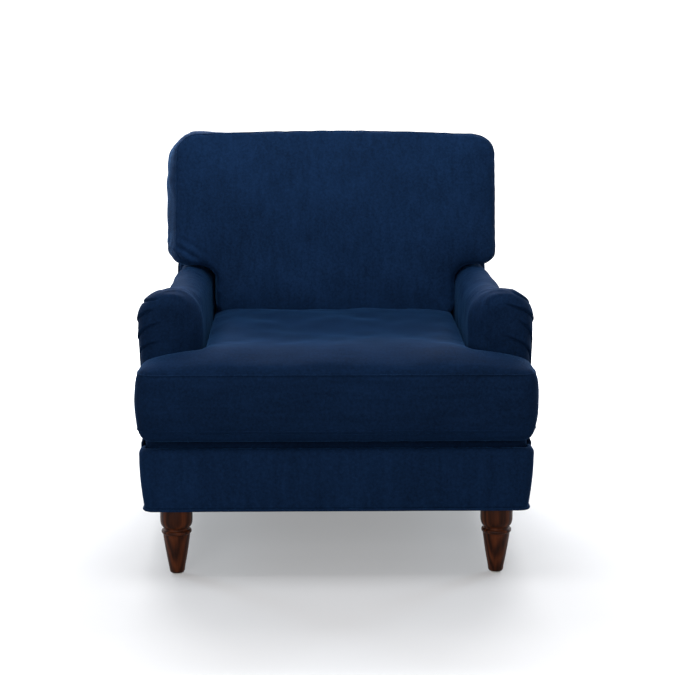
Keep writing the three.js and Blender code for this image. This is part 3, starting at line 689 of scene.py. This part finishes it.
def make_welts(kind, outline, seams, place, cushion, radius, material):
    """The fine welts sewn along a cushion's two seams, half sunk in its surface."""
    LIFT = 0.0004
    for word, height in seams.items():
        path = place(np.column_stack([outline, np.full(len(outline), height)]))
        path = on_surface(cushion, path, LIFT)
        for _ in range(3):
            path = (np.roll(path, 1, axis=0) + 2 * path + np.roll(path, -1, axis=0)) / 4
        welt = tube(kind + "_welt_" + word, path, radius, material, closed=True)
        finish_piece(welt, kind + "_cushion", "velvet")


def make_panel_seam(cushion, material):
    """The seam of the panel let into the cushion's underside, which shows just under its front edge."""
    HALF, RETURN, INSET, BELOW, LIFT, RADIUS = 0.323, 0.030, 0.002, 0.0065, 0.0006, 0.0014
    y, z = SEAT_BULGE + INSET, SEAT_SEAM_LOW - BELOW
    front = [(x, y, z) for x in np.linspace(-HALF, HALF, 130)]
    right = [(HALF, y + r, z - 0.2 * r) for r in np.linspace(0.004, RETURN, 8)]
    left = [(-x, back, up) for x, back, up in reversed(right)]
    path = on_surface(cushion, seat_place(left + front + right), LIFT)
    path[1:-1] = (path[:-2] + 2 * path[1:-1] + path[2:]) / 4
    finish_piece(tube("seat_panel_seam", path, RADIUS, material), "seat_cushion", "velvet")


# The back cushion is made lying down: across, up the rake, and from its front face backwards.
BACK_SEAM_FRONT, BACK_SEAM_REAR = 0.024, 0.178
BACK_EAR_LOW = 0.133
BACK_HEIGHT = (BACK_HIGH.z - BACK_LOW.z) / math.cos(BACK_RAKE) + 0.005
BACK_ORIGIN = Vector((0, BACK_LOW.y - 0.008, BACK_LOW.z))
BACK_EAR = BACK_HIGH.x - 0.003
BACK_ZIP_Y = sum(corner[1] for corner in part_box("back_zip_tape")) / 2
BACK_ZIP_DEPTH = (BACK_ZIP_Y - BACK_ORIGIN.y) * math.cos(BACK_RAKE)


def back_place(points):
    """From (across, up the rake, backwards) to the chair's frame, with a level lower edge and level ears."""
    points = np.asarray(points, dtype=float)
    c, s = math.cos(BACK_RAKE), math.sin(BACK_RAKE)
    share = 1 - np.clip((points[:, 1] - BACK_EAR_LOW) / (BACK_HEIGHT - BACK_EAR_LOW), 0, 1)
    up = points[:, 1] + points[:, 2] * math.tan(BACK_RAKE) * share
    return np.stack([
        points[:, 0],
        BACK_ORIGIN.y + points[:, 2] * c + up * s,
        BACK_ORIGIN.z - points[:, 2] * s + up * c,
    ], axis=1)


def shifted_back_place(points):
    """As back_place, for a seam's outline, which still lacks the front panel's shift."""
    moved = points.copy()
    moved[:, 0] += left_seam_shift(points[:, 0], points[:, 2])
    return back_place(moved)


def back_outline():
    ARCH, TOP_GAP, TOP_CORNER, NOTCH, FOOT_CORNER = 0.011, 0.004, 0.050, 0.042, 0.030
    ears_first = t_outline(ARM_LOW.x - 0.002, BACK_EAR, BACK_HEIGHT - TOP_GAP, BACK_HEIGHT - BACK_EAR_LOW,
                           TOP_CORNER, NOTCH, FOOT_CORNER)
    outline = ears_first * np.array([1, -1]) + np.array([0, BACK_HEIGHT])
    # The top edge is a shallow arch.
    arch = ARCH * (1 - (outline[:, 0] / BACK_EAR) ** 2) - ARCH
    outline[:, 1] += arch * smoothstep(0.30, BACK_HEIGHT, outline[:, 1])
    return outline[::-1]


def left_seam_shift(x, depth):
    """The front panel stops short of the cushion's left side, where more of the boxing shows."""
    SHIFT = 0.014
    share = 1 - np.clip((depth - BACK_SEAM_FRONT) / (BACK_SEAM_REAR - BACK_SEAM_FRONT), 0, 1)
    return SHIFT * share ** 1.5 * smoothstep(-0.05, -BACK_EAR, x)


def make_back_cushion(material):
    ZIP_CHANNEL, CRUMPLE, CRUMPLE_PITCH = 0.0006, 0.0040, 0.021
    outline = back_outline()
    made = outline_prism("back_cushion", outline, BACK_SEAM_FRONT, BACK_SEAM_REAR, material)
    remesh(made, CUSHION_VOXEL)
    points = get_points(made)
    x, up, depth = points.T
    distance, outward, nearest = distance_inside(points, outline)
    thick = BACK_SEAM_REAR - BACK_SEAM_FRONT
    t = (depth - BACK_SEAM_FRONT) / thick
    side = np.exp(-(distance / SEAM_PULL) ** 2)
    # The boxing bows out above the arms, most of all at the left.
    upper = smoothstep(BACK_EAR_LOW - 0.02, BACK_EAR_LOW + 0.03, up)
    bow_size = (0.004 + 0.013 * smoothstep(-0.2, -0.36, x)) * upper
    bow = bow_size * np.sin(math.pi * np.clip(t, 0, 1)) ** 0.8 * side * (1 + 0.3 * lumps(points, 0.1, 5))
    points[:, :2] += outward * bow[:, None]
    x += left_seam_shift(x, depth)
    # The front panel swells forwards, fullest below its top, and the rear one a little backwards.
    front = smoothstep(0.14, 0.0, t)
    rear = smoothstep(0.86, 1.0, t)
    swell = BACK_SEAM_FRONT * dome(distance, 0.13) ** 0.9
    swell *= 1 - 0.25 * smoothstep(0.30, 0.45, up)
    depth -= swell * front
    depth += 0.010 * dome(distance, 0.12) * rear
    soft = 0.003 * lumps(points, 0.2, 6) + 0.0012 * lumps(points, 0.08, 7)
    depth += soft * front * dome(distance, 0.08)
    channel = near_zip(x, depth - BACK_ZIP_DEPTH) * smoothstep(0.03, 0.01, up)
    up += ZIP_CHANNEL * channel
    seam_gap = np.minimum(np.abs(t - 1), np.abs(t)) * thick
    edge = np.sqrt(distance ** 2 + seam_gap ** 2)
    set_points(made, points)
    pucker = seam_pucker(edge, nearest, 0.016, 0.0013, 9.0) - 0.0026 * np.exp(-(edge / SEAM_PULL) ** 2)
    # The left ear's lower end is crumpled where it sits on the arm.
    ear_end = np.exp(-(((x + 0.37) / 0.045) ** 2 + ((up - 0.165) / 0.035) ** 2))
    fold = np.sin((up * 0.8 + x * 0.5) * 2 * math.pi / CRUMPLE_PITCH)
    pucker += CRUMPLE * ear_end * (fold + 0.6 * lumps(points, 0.03, 17))
    push_out(made, points, pucker)
    swell_and_place(made, np.maximum(np.exp(-(edge / 0.008) ** 2), channel), back_place)
    return finish_piece(made, "back_cushion", "velvet", "back_cushion_cover", "back_cushion_core")


# ---------------------------------------------------------------- arms
def arm_fullness(y):
    """1 at the arm's full front, 0 behind it."""
    return smoothstep(ARM_LOW.y + 0.125, ARM_LOW.y + 0.040, y)


def arm_outer(y):
    """How far out the roll reaches at a place along the arm."""
    return ARM_HIGH.x - 0.0500 + 0.0485 * arm_fullness(y) - 0.006 * smoothstep(0.0, 0.4, y)


def arm_section(y, inset):
    """The arm's outline at one place along it, as (x, z) points: a low round roll over a flat side."""
    full = arm_fullness(y)
    outer = arm_outer(y) - inset
    top = ARM_HIGH.z - 0.0085 + 0.0065 * full - 0.002 * smoothstep(0, 0.4, y) - inset
    inner = ARM_LOW.x + inset
    low = ARM_LOW.z + 0.004
    waist_low, waist_high = 0.48, 0.545  # the outer side leans out between these heights
    outer_radius = max(0.042 + 0.018 * full - inset, 0.012)
    inner_radius = max(0.050 + 0.022 * full - inset, 0.012)
    return rounded_outline(
        [(inner, low), (outer - 0.012, low), (outer - 0.004, waist_low), (outer, waist_high),
         (outer, top), (inner, top)],
        [0.004, 0.004, 0.03, 0.03, outer_radius, inner_radius], 0.012)


def resampled(outline, count):
    """The same closed outline with count points, evenly spaced from the first."""
    closed = np.vstack([outline, outline[:1]])
    run = np.concatenate([[0], np.cumsum(np.linalg.norm(np.diff(closed, axis=0), axis=1))])
    at = np.linspace(0, run[-1], count, endpoint=False)
    return np.column_stack([np.interp(at, run, closed[:, k]) for k in range(2)])


# Each pleat at the outer side of an arm's front: how far in from the side and down from the top it starts,
# how far it falls on its way out to the side, and its size.
PLEATS = {
    "right": [(0.070, 0.031, 0.026, 1.0), (0.040, 0.068, 0.032, 1.0), (0.070, 0.102, 0.036, 1.0),
              (0.062, 0.004, 0.018, 0.5)],
    "left": [(0.040, 0.042, 0.014, 0.9), (0.054, 0.071, 0.024, 1.0), (0.054, 0.113, 0.017, 0.9),
             (0.056, 0.017, 0.007, 0.5)],
}


def pleats(points, word):
    """How far each point moves for the folds of velvet gathered at the outer side of the arm's front."""
    depth = points[:, 1] - ARM_LOW.y
    outer_side = smoothstep(ARM_HIGH.x - 0.060, ARM_HIGH.x - 0.030, points[:, 0])
    run = points[:, 0] + np.maximum(depth - 0.004, 0) * outer_side
    lift = np.zeros(len(points))
    for inward, below, fall, size in PLEATS[word]:
        share = (run - (ARM_HIGH.x - inward)) / inward
        line = ARM_HIGH.z - below - fall * np.sign(share) * np.abs(share) ** 1.5
        above = points[:, 2] - line
        fade = smoothstep(-0.05, 0.45, share) * smoothstep(1 + 0.075 / inward, 1 + 0.020 / inward, share)
        crease = -0.0052 * np.exp(-((above / 0.0024) ** 2))
        lap = 0.0038 * np.where(above > 0, np.exp(-above / 0.013), 0) * smoothstep(0, 0.002, above)
        under = -0.0010 * np.where(above <= 0, np.exp(above / 0.010), 0)
        lift += size * fade * (crease + lap + under)
    return lift * smoothstep(0.10, 0.05, depth)


def fan(points):
    """Stretch lines that spread inwards over the arm's top from the front of the roll."""
    DEPTH, REACH, WIDTH = 0.0011, 0.070, 0.030
    inward = ARM_HIGH.x - 0.030 - points[:, 0]
    back = points[:, 1] - ARM_LOW.y - 0.006
    turn = np.arctan2(back, inward)
    reach = np.hypot(back, inward)
    window = np.exp(-((reach - REACH) / WIDTH) ** 2)
    window = window * smoothstep(0.0, 0.25, turn) * smoothstep(1.5, 1.0, turn)
    window = window * smoothstep(ARM_HIGH.z - 0.045, ARM_HIGH.z - 0.02, points[:, 2])
    return DEPTH * np.sin(26 * turn + 1.2 * np.sin(7 * turn)) * window


def make_arm(word, side, material):
    """An arm's velvet over its pad. It is shaped as the right one, then mirrored for the left."""
    VOXEL, NOSE, CORNER, CORNER_DEPTH, COUNT = 0.0045, 0.034, 0.100, 0.046, 96
    rings = []
    for turn in np.linspace(0, math.pi / 2, 9):
        rings.append((ARM_LOW.y + NOSE * (1 - math.cos(turn)), NOSE * (1 - math.sin(turn))))
    rings += [(y, 0.0) for y in np.linspace(ARM_LOW.y + NOSE + 0.012, 0.36, 26)]
    sections = []
    for y, inset in rings:
        outline = resampled(arm_section(y, inset), COUNT)
        sections.append([(x, y, z) for x, z in outline])
    last = resampled(arm_section(0.40, 0.0), COUNT)
    sections.append([(x, outer_back_y(z) - 0.002, z) for x, z in last])
    made = grid_object("arm_" + word, sections, material, close_across=True, cap_ends=True)
    remesh(fix_normals(made), VOXEL)
    # The front's inner corner falls back beside the seat cushion.
    points = get_points(made)
    near = np.clip((ARM_LOW.x + CORNER - points[:, 0]) / CORNER, 0, 1)
    front = smoothstep(ARM_LOW.y + 0.15, ARM_LOW.y + NOSE, points[:, 1])
    points[:, 1] += CORNER_DEPTH * near ** 2 * front
    set_points(made, points)
    relax(made, 4)
    refine(made)
    points = get_points(made)
    lift = pleats(points, word) + fan(points)
    lift += 0.0012 * lumps(points, 0.09, 12 + side) + 0.0004 * lumps(points, 0.03, 14 + side)
    points += get_normals(made) * lift[:, None]
    points[:, 0] *= side
    set_points(made, points)
    if side < 0:
        made.data.flip_normals()
    return finish_piece(made, "root", "velvet", "arm_cover_" + word, "arm_pad_" + word)


# ---------------------------------------------------------------- base
BASE_HALF = WELT_HIGH.x - 0.003


def base_plan(grow=0.0, rear=BORDER_HIGH.y):
    """The front edge of the base in plan, from the right side round to the left, as (x, y) points."""
    CORNER, STEP = 0.022, 0.008
    half = BASE_HALF + grow
    front = BORDER_LOW.y - grow
    radius = CORNER + grow
    turns = np.linspace(0, math.pi / 2, 9)
    right = [(half - radius + radius * math.cos(t), front + radius - radius * math.sin(t)) for t in turns]
    left = [(-x, y) for x, y in reversed(right)]
    line = np.array([(half, rear)] + right + left + [(-half, rear)])
    return np.array(subdivided(line, STEP) + [line[-1]])


def make_border(material):
    """The velvet strip round the front of the base, rolled over the front rail at its top."""
    FLARE, ROLL, PUFF, RIPPLE, THICK = 0.011, 0.013, 0.0028, 0.0010, 0.003
    plan = base_plan()
    low, high = BORDER_LOW.z - 0.004, BORDER_HIGH.z - 0.004
    ahead = np.gradient(plan, axis=0)
    inward = np.stack([ahead[:, 1], -ahead[:, 0]], axis=1)
    inward /= np.linalg.norm(inward, axis=1)[:, None]
    middle = np.array([0, 0.2])
    inward *= np.sign(np.sum(inward * (middle - plan), axis=1))[:, None]
    rows = []
    for z in np.linspace(low, high - ROLL, 18):
        share = (z - low) / (high - low)
        puff = PUFF * math.sin(math.pi * min(share * 1.05, 1))
        grow = np.column_stack([np.sign(plan[:, 0]) * FLARE * share, np.zeros(len(plan))])
        grow[:, 0] *= smoothstep(0.30, 0.41, np.abs(plan[:, 0]))
        ripple = np.array([RIPPLE * noise.noise(Vector((x * 9, y * 9, z * 12))) for x, y in plan])
        flat = plan + grow - inward * (puff + ripple)[:, None]
        rows.append(np.column_stack([flat, np.full(len(plan), z)]))
    crest = rows[-1]
    for turn in np.linspace(0.15, math.pi / 2, 7):
        row = crest.copy()
        row[:, :2] += inward * (ROLL * (1 - math.cos(turn)))
        row[:, 2] += ROLL * math.sin(turn)
        rows.append(row)
    made = thicken(grid_object("front_border", rows, material), THICK)
    return finish_piece(made, "root", "velvet", "front_border")


def make_base_welt(material):
    """The welt along the base's lower edge, round the front, the sides and the back."""
    RADIUS, CORNER, WAVER = 0.0032, 0.010, 0.0011
    plan = base_plan(0.0012, rear=OUTSIDE_LOW.y - 0.006)
    z = (WELT_LOW.z + WELT_HIGH.z) / 2
    rear_y = OUTSIDE_LOW.y + 0.0035
    half = plan[0][0]
    back = [(x, rear_y) for x in np.linspace(-half + CORNER, half - CORNER, 100)]
    path = np.vstack([plan, back])
    height = z + np.array([WAVER * noise.noise(Vector((x * 7, y * 7, 3))) for x, y in path])
    path = np.column_stack([path, height])
    made = tube("base_welt", path, RADIUS, material, closed=True, sides=10)
    return finish_piece(made, "root", "velvet", "base_welt")


def make_side_panel(word, side, material):
    """The outside of an arm and the side of the base below it: one L of velvet."""
    THICK, EDGE_DROP, RIPPLE, PUFF = 0.003, 0.0025, 0.0012, 0.002
    top = PANEL_HIGH.z
    shelf = BORDER_HIGH.z
    arm_start = ARM_LOW.y + 0.030
    rows = []
    for z in np.linspace(PANEL_LOW.z - 0.004, top, 64):
        share = (z - PANEL_LOW.z) / (top - PANEL_LOW.z)
        start = PANEL_LOW.y if z < shelf - 0.001 else arm_start
        end = outer_back_y(z) - 0.001
        ys = np.linspace(start, end, 110)
        x = BASE_HALF + share * (arm_outer(ys) + 0.0010 - BASE_HALF)
        near_edge = np.minimum(dome(ys - start, 0.02), dome(end - ys, 0.02))
        near_edge = np.minimum(near_edge, dome(np.full(len(ys), top - z), 0.012))
        x = x - EDGE_DROP * (1 - near_edge)
        ripple = [RIPPLE * noise.noise(Vector((3 * side, y * 6, z * 6))) for y in ys]
        x = x + np.array(ripple) * (1 - share ** 4) + PUFF * np.sin(math.pi * np.clip(share, 0, 1))
        rows.append(np.column_stack([side * x, ys, np.full(len(ys), z)]))
    made = thicken(grid_object("outside_arm_panel_" + word, rows, material), THICK)
    return finish_piece(made, "root", "velvet", "outside_arm_panel_" + word)


# ---------------------------------------------------------------- back
def inside_back_y(z):
    """The plane of the inside back, just behind the loose back cushion."""
    return BACK_ORIGIN.y + 0.191 / math.cos(BACK_RAKE) + (z - BACK_ORIGIN.z) * math.tan(BACK_RAKE)


def make_back_frame(material):
    """The upholstered back frame: inside back, top and sides, wide above the arms."""
    ROUND, SHARP, VOXEL, PLUMP = 0.026, 0.004, 0.006, 0.0012
    half = COVER_HIGH.x + 0.003
    body = ARM_LOW.x - 0.003
    top = COVER_HIGH.z + 0.002
    shelf = ARM_HIGH.z - 0.052
    outline = mirrored_outline([(body, COVER_LOW.z), (body, shelf), (half, shelf), (half, top)],
                               [SHARP, SHARP, 0.006, ROUND])
    made = outline_prism("back_frame_cover", outline, 0.0, 1.0, material)
    # The prism's third axis becomes the depth, from the inside back plane to the outside one.
    points = get_points(made)
    depth = points[:, 2].copy()
    z = points[:, 1]
    front = inside_back_y(z)
    rear = outer_back_y(z) - 0.0005
    set_points(made, np.column_stack([points[:, 0], front + (rear - front) * depth, z]))
    remesh(fix_normals(made), VOXEL)
    relax(made, 3)
    points = get_points(made)
    push_out(made, points, PLUMP * lumps(points, 0.12, 21) + PLUMP)
    refine(made)
    return finish_piece(made, "root", "velvet", "back_frame_cover", "inside_back_pad")


def outside_back_outline(inset):
    """The outside back's edge as (x, z) points: narrow at the foot, stepping out above the arms."""
    EASED, TOP_CORNER, SHOULDER = 0.006, 0.034, 0.045
    half = COVER_HIGH.x - inset
    foot = OUTSIDE_HIGH.x - inset
    shoulder = ARM_HIGH.x - 0.040 - inset
    top = OUTSIDE_HIGH.z - inset
    shelf = ARM_HIGH.z - 0.006 - inset
    low = OUTSIDE_LOW.z - 0.003 + inset
    return mirrored_outline([(foot, low), (shoulder, shelf), (half, shelf), (half, top)],
                            [EASED, SHOULDER, EASED, TOP_CORNER])


def make_outside_back(material):
    """The velvet panel over the back of the frame, a little fuller away from its edge."""
    VOXEL, THICK, DEPTH_SCALE = 0.004, 0.005, 0.6
    outline = outside_back_outline(0.002)
    made = outline_prism("outside_back_panel", outline, 0.0, THICK, material)
    remesh(made, VOXEL)
    points = get_points(made)
    distance, _, _ = distance_inside(points, outline)
    puff = 0.0035 * dome(distance, 0.10) + 0.0010 * lumps(points, 0.15, 31)
    x, z, depth = points.T
    y = outer_back_y(z) + depth * DEPTH_SCALE + puff * (depth > THICK / 2) - 0.001
    set_points(made, np.column_stack([x, y, z]))
    relax(fix_normals(made), 2)
    return finish_piece(made, "root", "velvet", "outside_back_panel")


def make_outside_back_welt(material):
    """The welt round the outside back, open along its lower edge."""
    RADIUS = 0.003
    outline = outside_back_outline(0.001)
    y = outer_back_y(outline[:, 1]) + 0.0012
    path = np.column_stack([outline[:, 0], y, outline[:, 1]])
    above_foot = path[:, 2] > OUTSIDE_LOW.z + 0.002
    start = int(np.argmax(~above_foot))
    path = np.roll(path, -start, axis=0)[np.roll(above_foot, -start)]
    made = tube("outside_back_welt", path, RADIUS, material)
    return finish_piece(made, "root", "velvet")


# ---------------------------------------------------------------- deck
def make_deck(velvet_material, lining_material):
    """The padded deck under the seat cushion: a velvet front roll and a plain lining behind it."""
    THICK, VOXEL, SETBACK, LINING_FROM = 0.024, 0.006, 0.030, 0.118
    length = (DECK_HIGH.y - DECK_LOW.y) / math.cos(SEAT_SLOPE)
    body = ARM_LOW.x - 0.0025
    ear = BORDER_HIGH.x - 0.008
    outline = t_outline(body, ear, length, 0.094, 0.018, 0.006, 0.008)
    made = outline_prism("deck", outline, 0.0, THICK, velvet_material)
    remesh(made, VOXEL)
    relax(made, 3)
    points = get_points(made)
    top = points[:, 2] > THICK / 2
    seam = np.exp(-((points[:, 1] - LINING_FROM) / 0.004) ** 2)
    points[:, 2] += np.where(top, 0.0007 * lumps(points, 0.1, 41) - 0.002 * seam, 0)
    c, s = math.cos(SEAT_SLOPE), math.sin(SEAT_SLOPE)
    x, back, up = points.T
    back = SETBACK + back * (length - SETBACK) / length
    y0, z0 = DECK_LOW.y, DECK_HIGH.z - 0.0245
    set_points(made, np.stack([x, y0 + back * c + up * s, z0 - back * s + up * c], axis=1))
    made.data.materials.append(lining_material)
    for polygon in made.data.polygons:
        polygon.material_index = int(polygon.center.y > y0 + LINING_FROM)
    return finish_piece(made, "root", "velvet", "deck_cover", "deck_pad")


# ---------------------------------------------------------------- dust cover, zips and straps
def box_mesh(name, boxes, material):
    """Many small blocks as one piece; each is its centre and its three half-size vectors."""
    points, faces = [], []
    for centre, a, b, c in boxes:
        start = len(points)
        corners = [(i, j, k) for i in (-1, 1) for j in (-1, 1) for k in (-1, 1)]
        points += [centre + a * i + b * j + c * k for i, j, k in corners]
        faces += [tuple(start + n for n in face) for face in (
            (0, 1, 3, 2), (4, 6, 7, 5), (0, 4, 5, 1), (2, 3, 7, 6), (0, 2, 6, 4), (1, 5, 7, 3))]
    return fix_normals(mesh_object(name, points, faces, material, smooth=False))


def make_dust_cover(material, steel):
    """Thin cloth drawn tight under the frame, its folded edges stapled, with holes for the leg bolts."""
    HEM, SAG, CELL, HOLE, THICK = 0.018, 0.004, 0.0055, 0.007, 0.0006
    wide, deep = DUST_HIGH.x - DUST_LOW.x, DUST_HIGH.y - DUST_LOW.y
    across = np.linspace(DUST_LOW.x, DUST_HIGH.x, round(wide / CELL))
    along = np.linspace(DUST_LOW.y, DUST_HIGH.y, round(deep / CELL))
    x, y = np.meshgrid(across, along)
    edge = np.minimum(DUST_HIGH.x - np.abs(x), np.minimum(y - DUST_LOW.y, DUST_HIGH.y - y))
    flat = np.column_stack([x.ravel(), y.ravel(), np.zeros(x.size)])
    z = DUST_HIGH.z - 0.0004 - SAG * smoothstep(0.03, 0.25, edge)
    z -= 0.0007 * smoothstep(HEM + 0.002, HEM, edge)
    z += 0.0005 * lumps(flat, 0.12, 51).reshape(x.shape) * smoothstep(0, 0.05, edge)
    made = grid_object("dust_cover", np.stack([x, y, z], axis=2), material)
    bolts = [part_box(kind + "_leg_bolt_" + word) for kind in ("front", "rear") for word in SIDES]
    centres = [((low[0] + high[0]) / 2, (low[1] + high[1]) / 2) for low, high in bolts]
    work = bmesh.new()
    work.from_mesh(made.data)
    holes = [f for f in work.faces
             if any(math.dist(f.calc_center_median()[:2], c) < HOLE for c in centres)]
    bmesh.ops.delete(work, geom=holes, context="FACES")
    work.to_mesh(made.data)
    work.free()
    thicken(made, THICK)
    finish_piece(made, "root", "cambric", "dust_cover")
    # Staples: flat strips of wire, each along its edge.
    PITCH, FROM_EDGE, FROM_CORNER = 0.047, 0.009, 0.05
    UP = Vector((0, 0, 0.0004))
    z = DUST_HIGH.z - 0.0020
    staples = []
    for along, across in ((0, 1), (1, 0)):
        length, width = Vector((0, 0, 0)), Vector((0, 0, 0))
        length[along], length[across], width[across] = 0.0055, 0.0008, 0.0006
        for run in np.arange(DUST_LOW[along] + FROM_CORNER, DUST_HIGH[along] - 0.04, PITCH):
            for row in (DUST_LOW[across] + FROM_EDGE, DUST_HIGH[across] - FROM_EDGE):
                spot = Vector((0, 0, z))
                spot[along], spot[across] = run, row
                staples.append((spot, length, width, UP))
    finish_piece(box_mesh("dust_cover_staples", staples, steel), "root", "steel")


def make_zip(word, across, outward, tape_material, tooth_material):
    """A zip's woven tape, with its row of teeth, along the rear or lower edge of a cushion."""
    HALF_WIDTH, THICK, TOOTH_PITCH, END = 0.0135, 0.0022, 0.0026, 0.014
    low, high = box_corners(word + "_zip_tape")
    middle = (low + high) / 2
    half = high.x - 0.002
    rows = []
    for t in np.linspace(-1, 1, 9):
        row = []
        for x in np.linspace(-half, half, 150):
            waver = 0.0004 * math.sin(x * 61) * t
            row.append(middle + Vector((x, 0, 0)) + across * (HALF_WIDTH * t + waver) + outward * 0.0004)
        rows.append(row)
    tape = thicken(grid_object(word + "_zip_tape_cloth", rows, tape_material), THICK)
    teeth = []
    for i in range(round((2 * half - 2 * END) / TOOTH_PITCH)):
        place = middle + Vector((-half + END + i * TOOTH_PITCH, 0, 0)) + outward * 0.0007
        place = place + across * (0.0008 if i % 2 else -0.0008)
        teeth.append((place, Vector((0.0009, 0, 0)), across * 0.0020, outward * 0.0006))
    row = box_mesh(word + "_zip_teeth", teeth, tooth_material)
    finish_piece(row, word + "_cushion", "brass")
    finish_piece(tape, word + "_cushion", "zip_tape", word + "_zip_tape")


def make_strap(word, material):
    """One elastic strap, drawn tight up the back frame, with a slight twist."""
    TWIST, THICK, END_GAP = 0.0008, 0.0016, 0.001
    low, high = box_corners("back_webbing_" + word)
    rows = []
    for t in np.linspace(0, 1, 90):
        y = low.y + END_GAP + (high.y - low.y - 2 * END_GAP) * t
        z = low.z + (high.z - low.z) * t
        rows.append([(x, y + TWIST * math.sin(9 * t * (x - low.x)), z)
                     for x in np.linspace(low.x, high.x, 24)])
    strap = thicken(grid_object("back_strap_" + word, rows, material), THICK)
    finish_piece(strap, "root", "webbing", "back_webbing_" + word)


# ---------------------------------------------------------------- legs
def turned_profile(low, top):
    """Radius and height of the front leg's turning, from its foot to its top."""
    points = [(0.0128, low), (0.0152, low + 0.0012), (0.0168, low + 0.005), (0.0176, low + 0.012)]
    # A straight taper that swells slightly into the shoulder under the lip.
    for t in np.linspace(0.05, 1, 16):
        z = low + 0.012 + t * 0.075
        points.append((0.0176 + 0.0122 * t + 0.0007 * math.sin(math.pi * t), z))
    # Lip: a rounded collar, with a fine fillet above and below.
    for turn in np.linspace(-0.5 * math.pi, 0.5 * math.pi, 9):
        points.append((0.0296 + 0.0038 * math.cos(turn), 0.0985 + 0.0045 * math.sin(turn)))
    # Neck, and the bulb that rounds up to the base.
    points += [(0.0288, 0.1042), (0.0286, 0.1075)]
    for turn in np.linspace(0.05, 1, 9) * math.pi / 2:
        points.append((0.0290 + 0.0068 * math.sin(turn), 0.1275 - 0.0185 * math.cos(turn)))
    points += [(0.03575, 0.140), (0.0354, 0.149), (0.0342, top - 0.001), (0.0332, top)]
    return points


def make_leg(name, rows, node, material):
    made = fix_normals(grid_object(name, rows, material, close_across=True, cap_ends=True))
    return finish_piece(made, "root", "walnut", node)


def make_front_leg(word, material):
    COUNT = 72
    low, high = box_corners("front_leg_" + word)
    centre = (low + high) / 2
    turns = np.linspace(0, 2 * math.pi, COUNT, endpoint=False)
    rows = [[(centre.x + radius * math.cos(t), centre.y + radius * math.sin(t), z) for t in turns]
            for radius, z in turned_profile(low.z, high.z)]
    return make_leg("turned_leg_" + word, rows, "front_leg_" + word, material)


def make_rear_leg(word, material):
    """A plain square leg, tapered and raked back, with eased edges."""
    TOP, FOOT, EASE, COUNT = 0.046, 0.030, 0.0035, 64
    low, high = box_corners("rear_leg_" + word)
    centre_x = (low.x + high.x) / 2
    top_y, foot_y = low.y + TOP / 2, high.y - FOOT / 2
    rows = []
    for t in np.linspace(0, 1, 12):
        half = (FOOT + (TOP - FOOT) * t) / 2
        y = foot_y + (top_y - foot_y) * t
        square = [(-half, -half), (half, -half), (half, half), (-half, half)]
        square = resampled(rounded_outline(square, [EASE] * 4, 0.002), COUNT)
        rows.append([(centre_x + a, y + b, low.z + (high.z - low.z) * t) for a, b in square])
    return make_leg("tapered_leg_" + word, rows, "rear_leg_" + word, material)


# ---------------------------------------------------------------- assembly
def dress_frame():
    """Gives each carried-over CAD node a finished material."""
    finishes = {
        "hardwood": hardwood("hardwood"),
        "steel": metal("spring_steel", (0.42, 0.43, 0.45), 0.34),
        "foam": foam("foam"),
        "webbing": cloth("webbing", (0.02, 0.02, 0.022), (0.06, 0.06, 0.065), 0.003),
        "nylon": nylon("nylon"),
        "walnut": walnut("walnut"),
        "velvet": velvet("velvet_frame"),
        "cambric": cloth("cambric", (0.006, 0.006, 0.008), (0.02, 0.02, 0.024), 0.0016),
        "zip_tape": cloth("zip_tape", (0.004, 0.008, 0.02), (0.012, 0.022, 0.05), 0.0011),
        "brass": metal("brass", (0.45, 0.32, 0.12), 0.32),
    }
    slots = {part["node"]: part["material_slot"] for part in frame["record"]["subparts"]}
    for name, node in frame["nodes"].items():
        finish = finishes[slots[name]]
        if not node.material_slots:
            node.data.materials.append(finish)
        for place in node.material_slots:
            place.link = "OBJECT"
            place.material = finish
    return finishes


def main():
    add_camera()
    add_studio()
    finishes = dress_frame()
    # Upright pile runs down the cloth; on the seat it runs across, and the arms' has less sheen.
    # Painted light and shade: the upright velvet is made 1.22 times lighter and the seat's 0.98 as light.
    upright = velvet("velvet_upright_painted_lighter", light=1.22)
    gathered = velvet("velvet_arms", sheen=0.075)
    flat = velvet("velvet_flat_painted_darker", streaks=(7, 70, 70), light=0.98)
    cushion = make_seat_cushion(flat)
    make_welts("seat", seat_outline(), {"lower": SEAT_SEAM_LOW, "upper": SEAT_SEAM_HIGH},
               seat_place, cushion, 0.0017, flat)
    make_panel_seam(cushion, flat)
    back = make_back_cushion(upright)
    make_welts("back", back_outline(), {"front": BACK_SEAM_FRONT, "rear": BACK_SEAM_REAR},
               shifted_back_place, back, 0.0019, upright)
    for word, side in SIDES.items():
        make_arm(word, side, gathered)
        make_side_panel(word, side, gathered)
        make_front_leg(word, finishes["walnut"])
        make_rear_leg(word, finishes["walnut"])
    make_border(upright)
    make_base_welt(upright)
    make_back_frame(upright)
    make_outside_back(upright)
    make_outside_back_welt(upright)
    make_deck(flat, finishes["cambric"])
    make_dust_cover(finishes["cambric"], finishes["steel"])
    c, s = math.cos(SEAT_SLOPE), math.sin(SEAT_SLOPE)
    make_zip("seat", Vector((0, s, c)), Vector((0, c, -s)), finishes["zip_tape"], finishes["brass"])
    make_zip("back", Vector((0, 1, 0)), Vector((0, 0, -1)), finishes["zip_tape"], finishes["brass"])
    for word in ("left", "middle", "right"):
        make_strap(word, finishes["webbing"])


main()
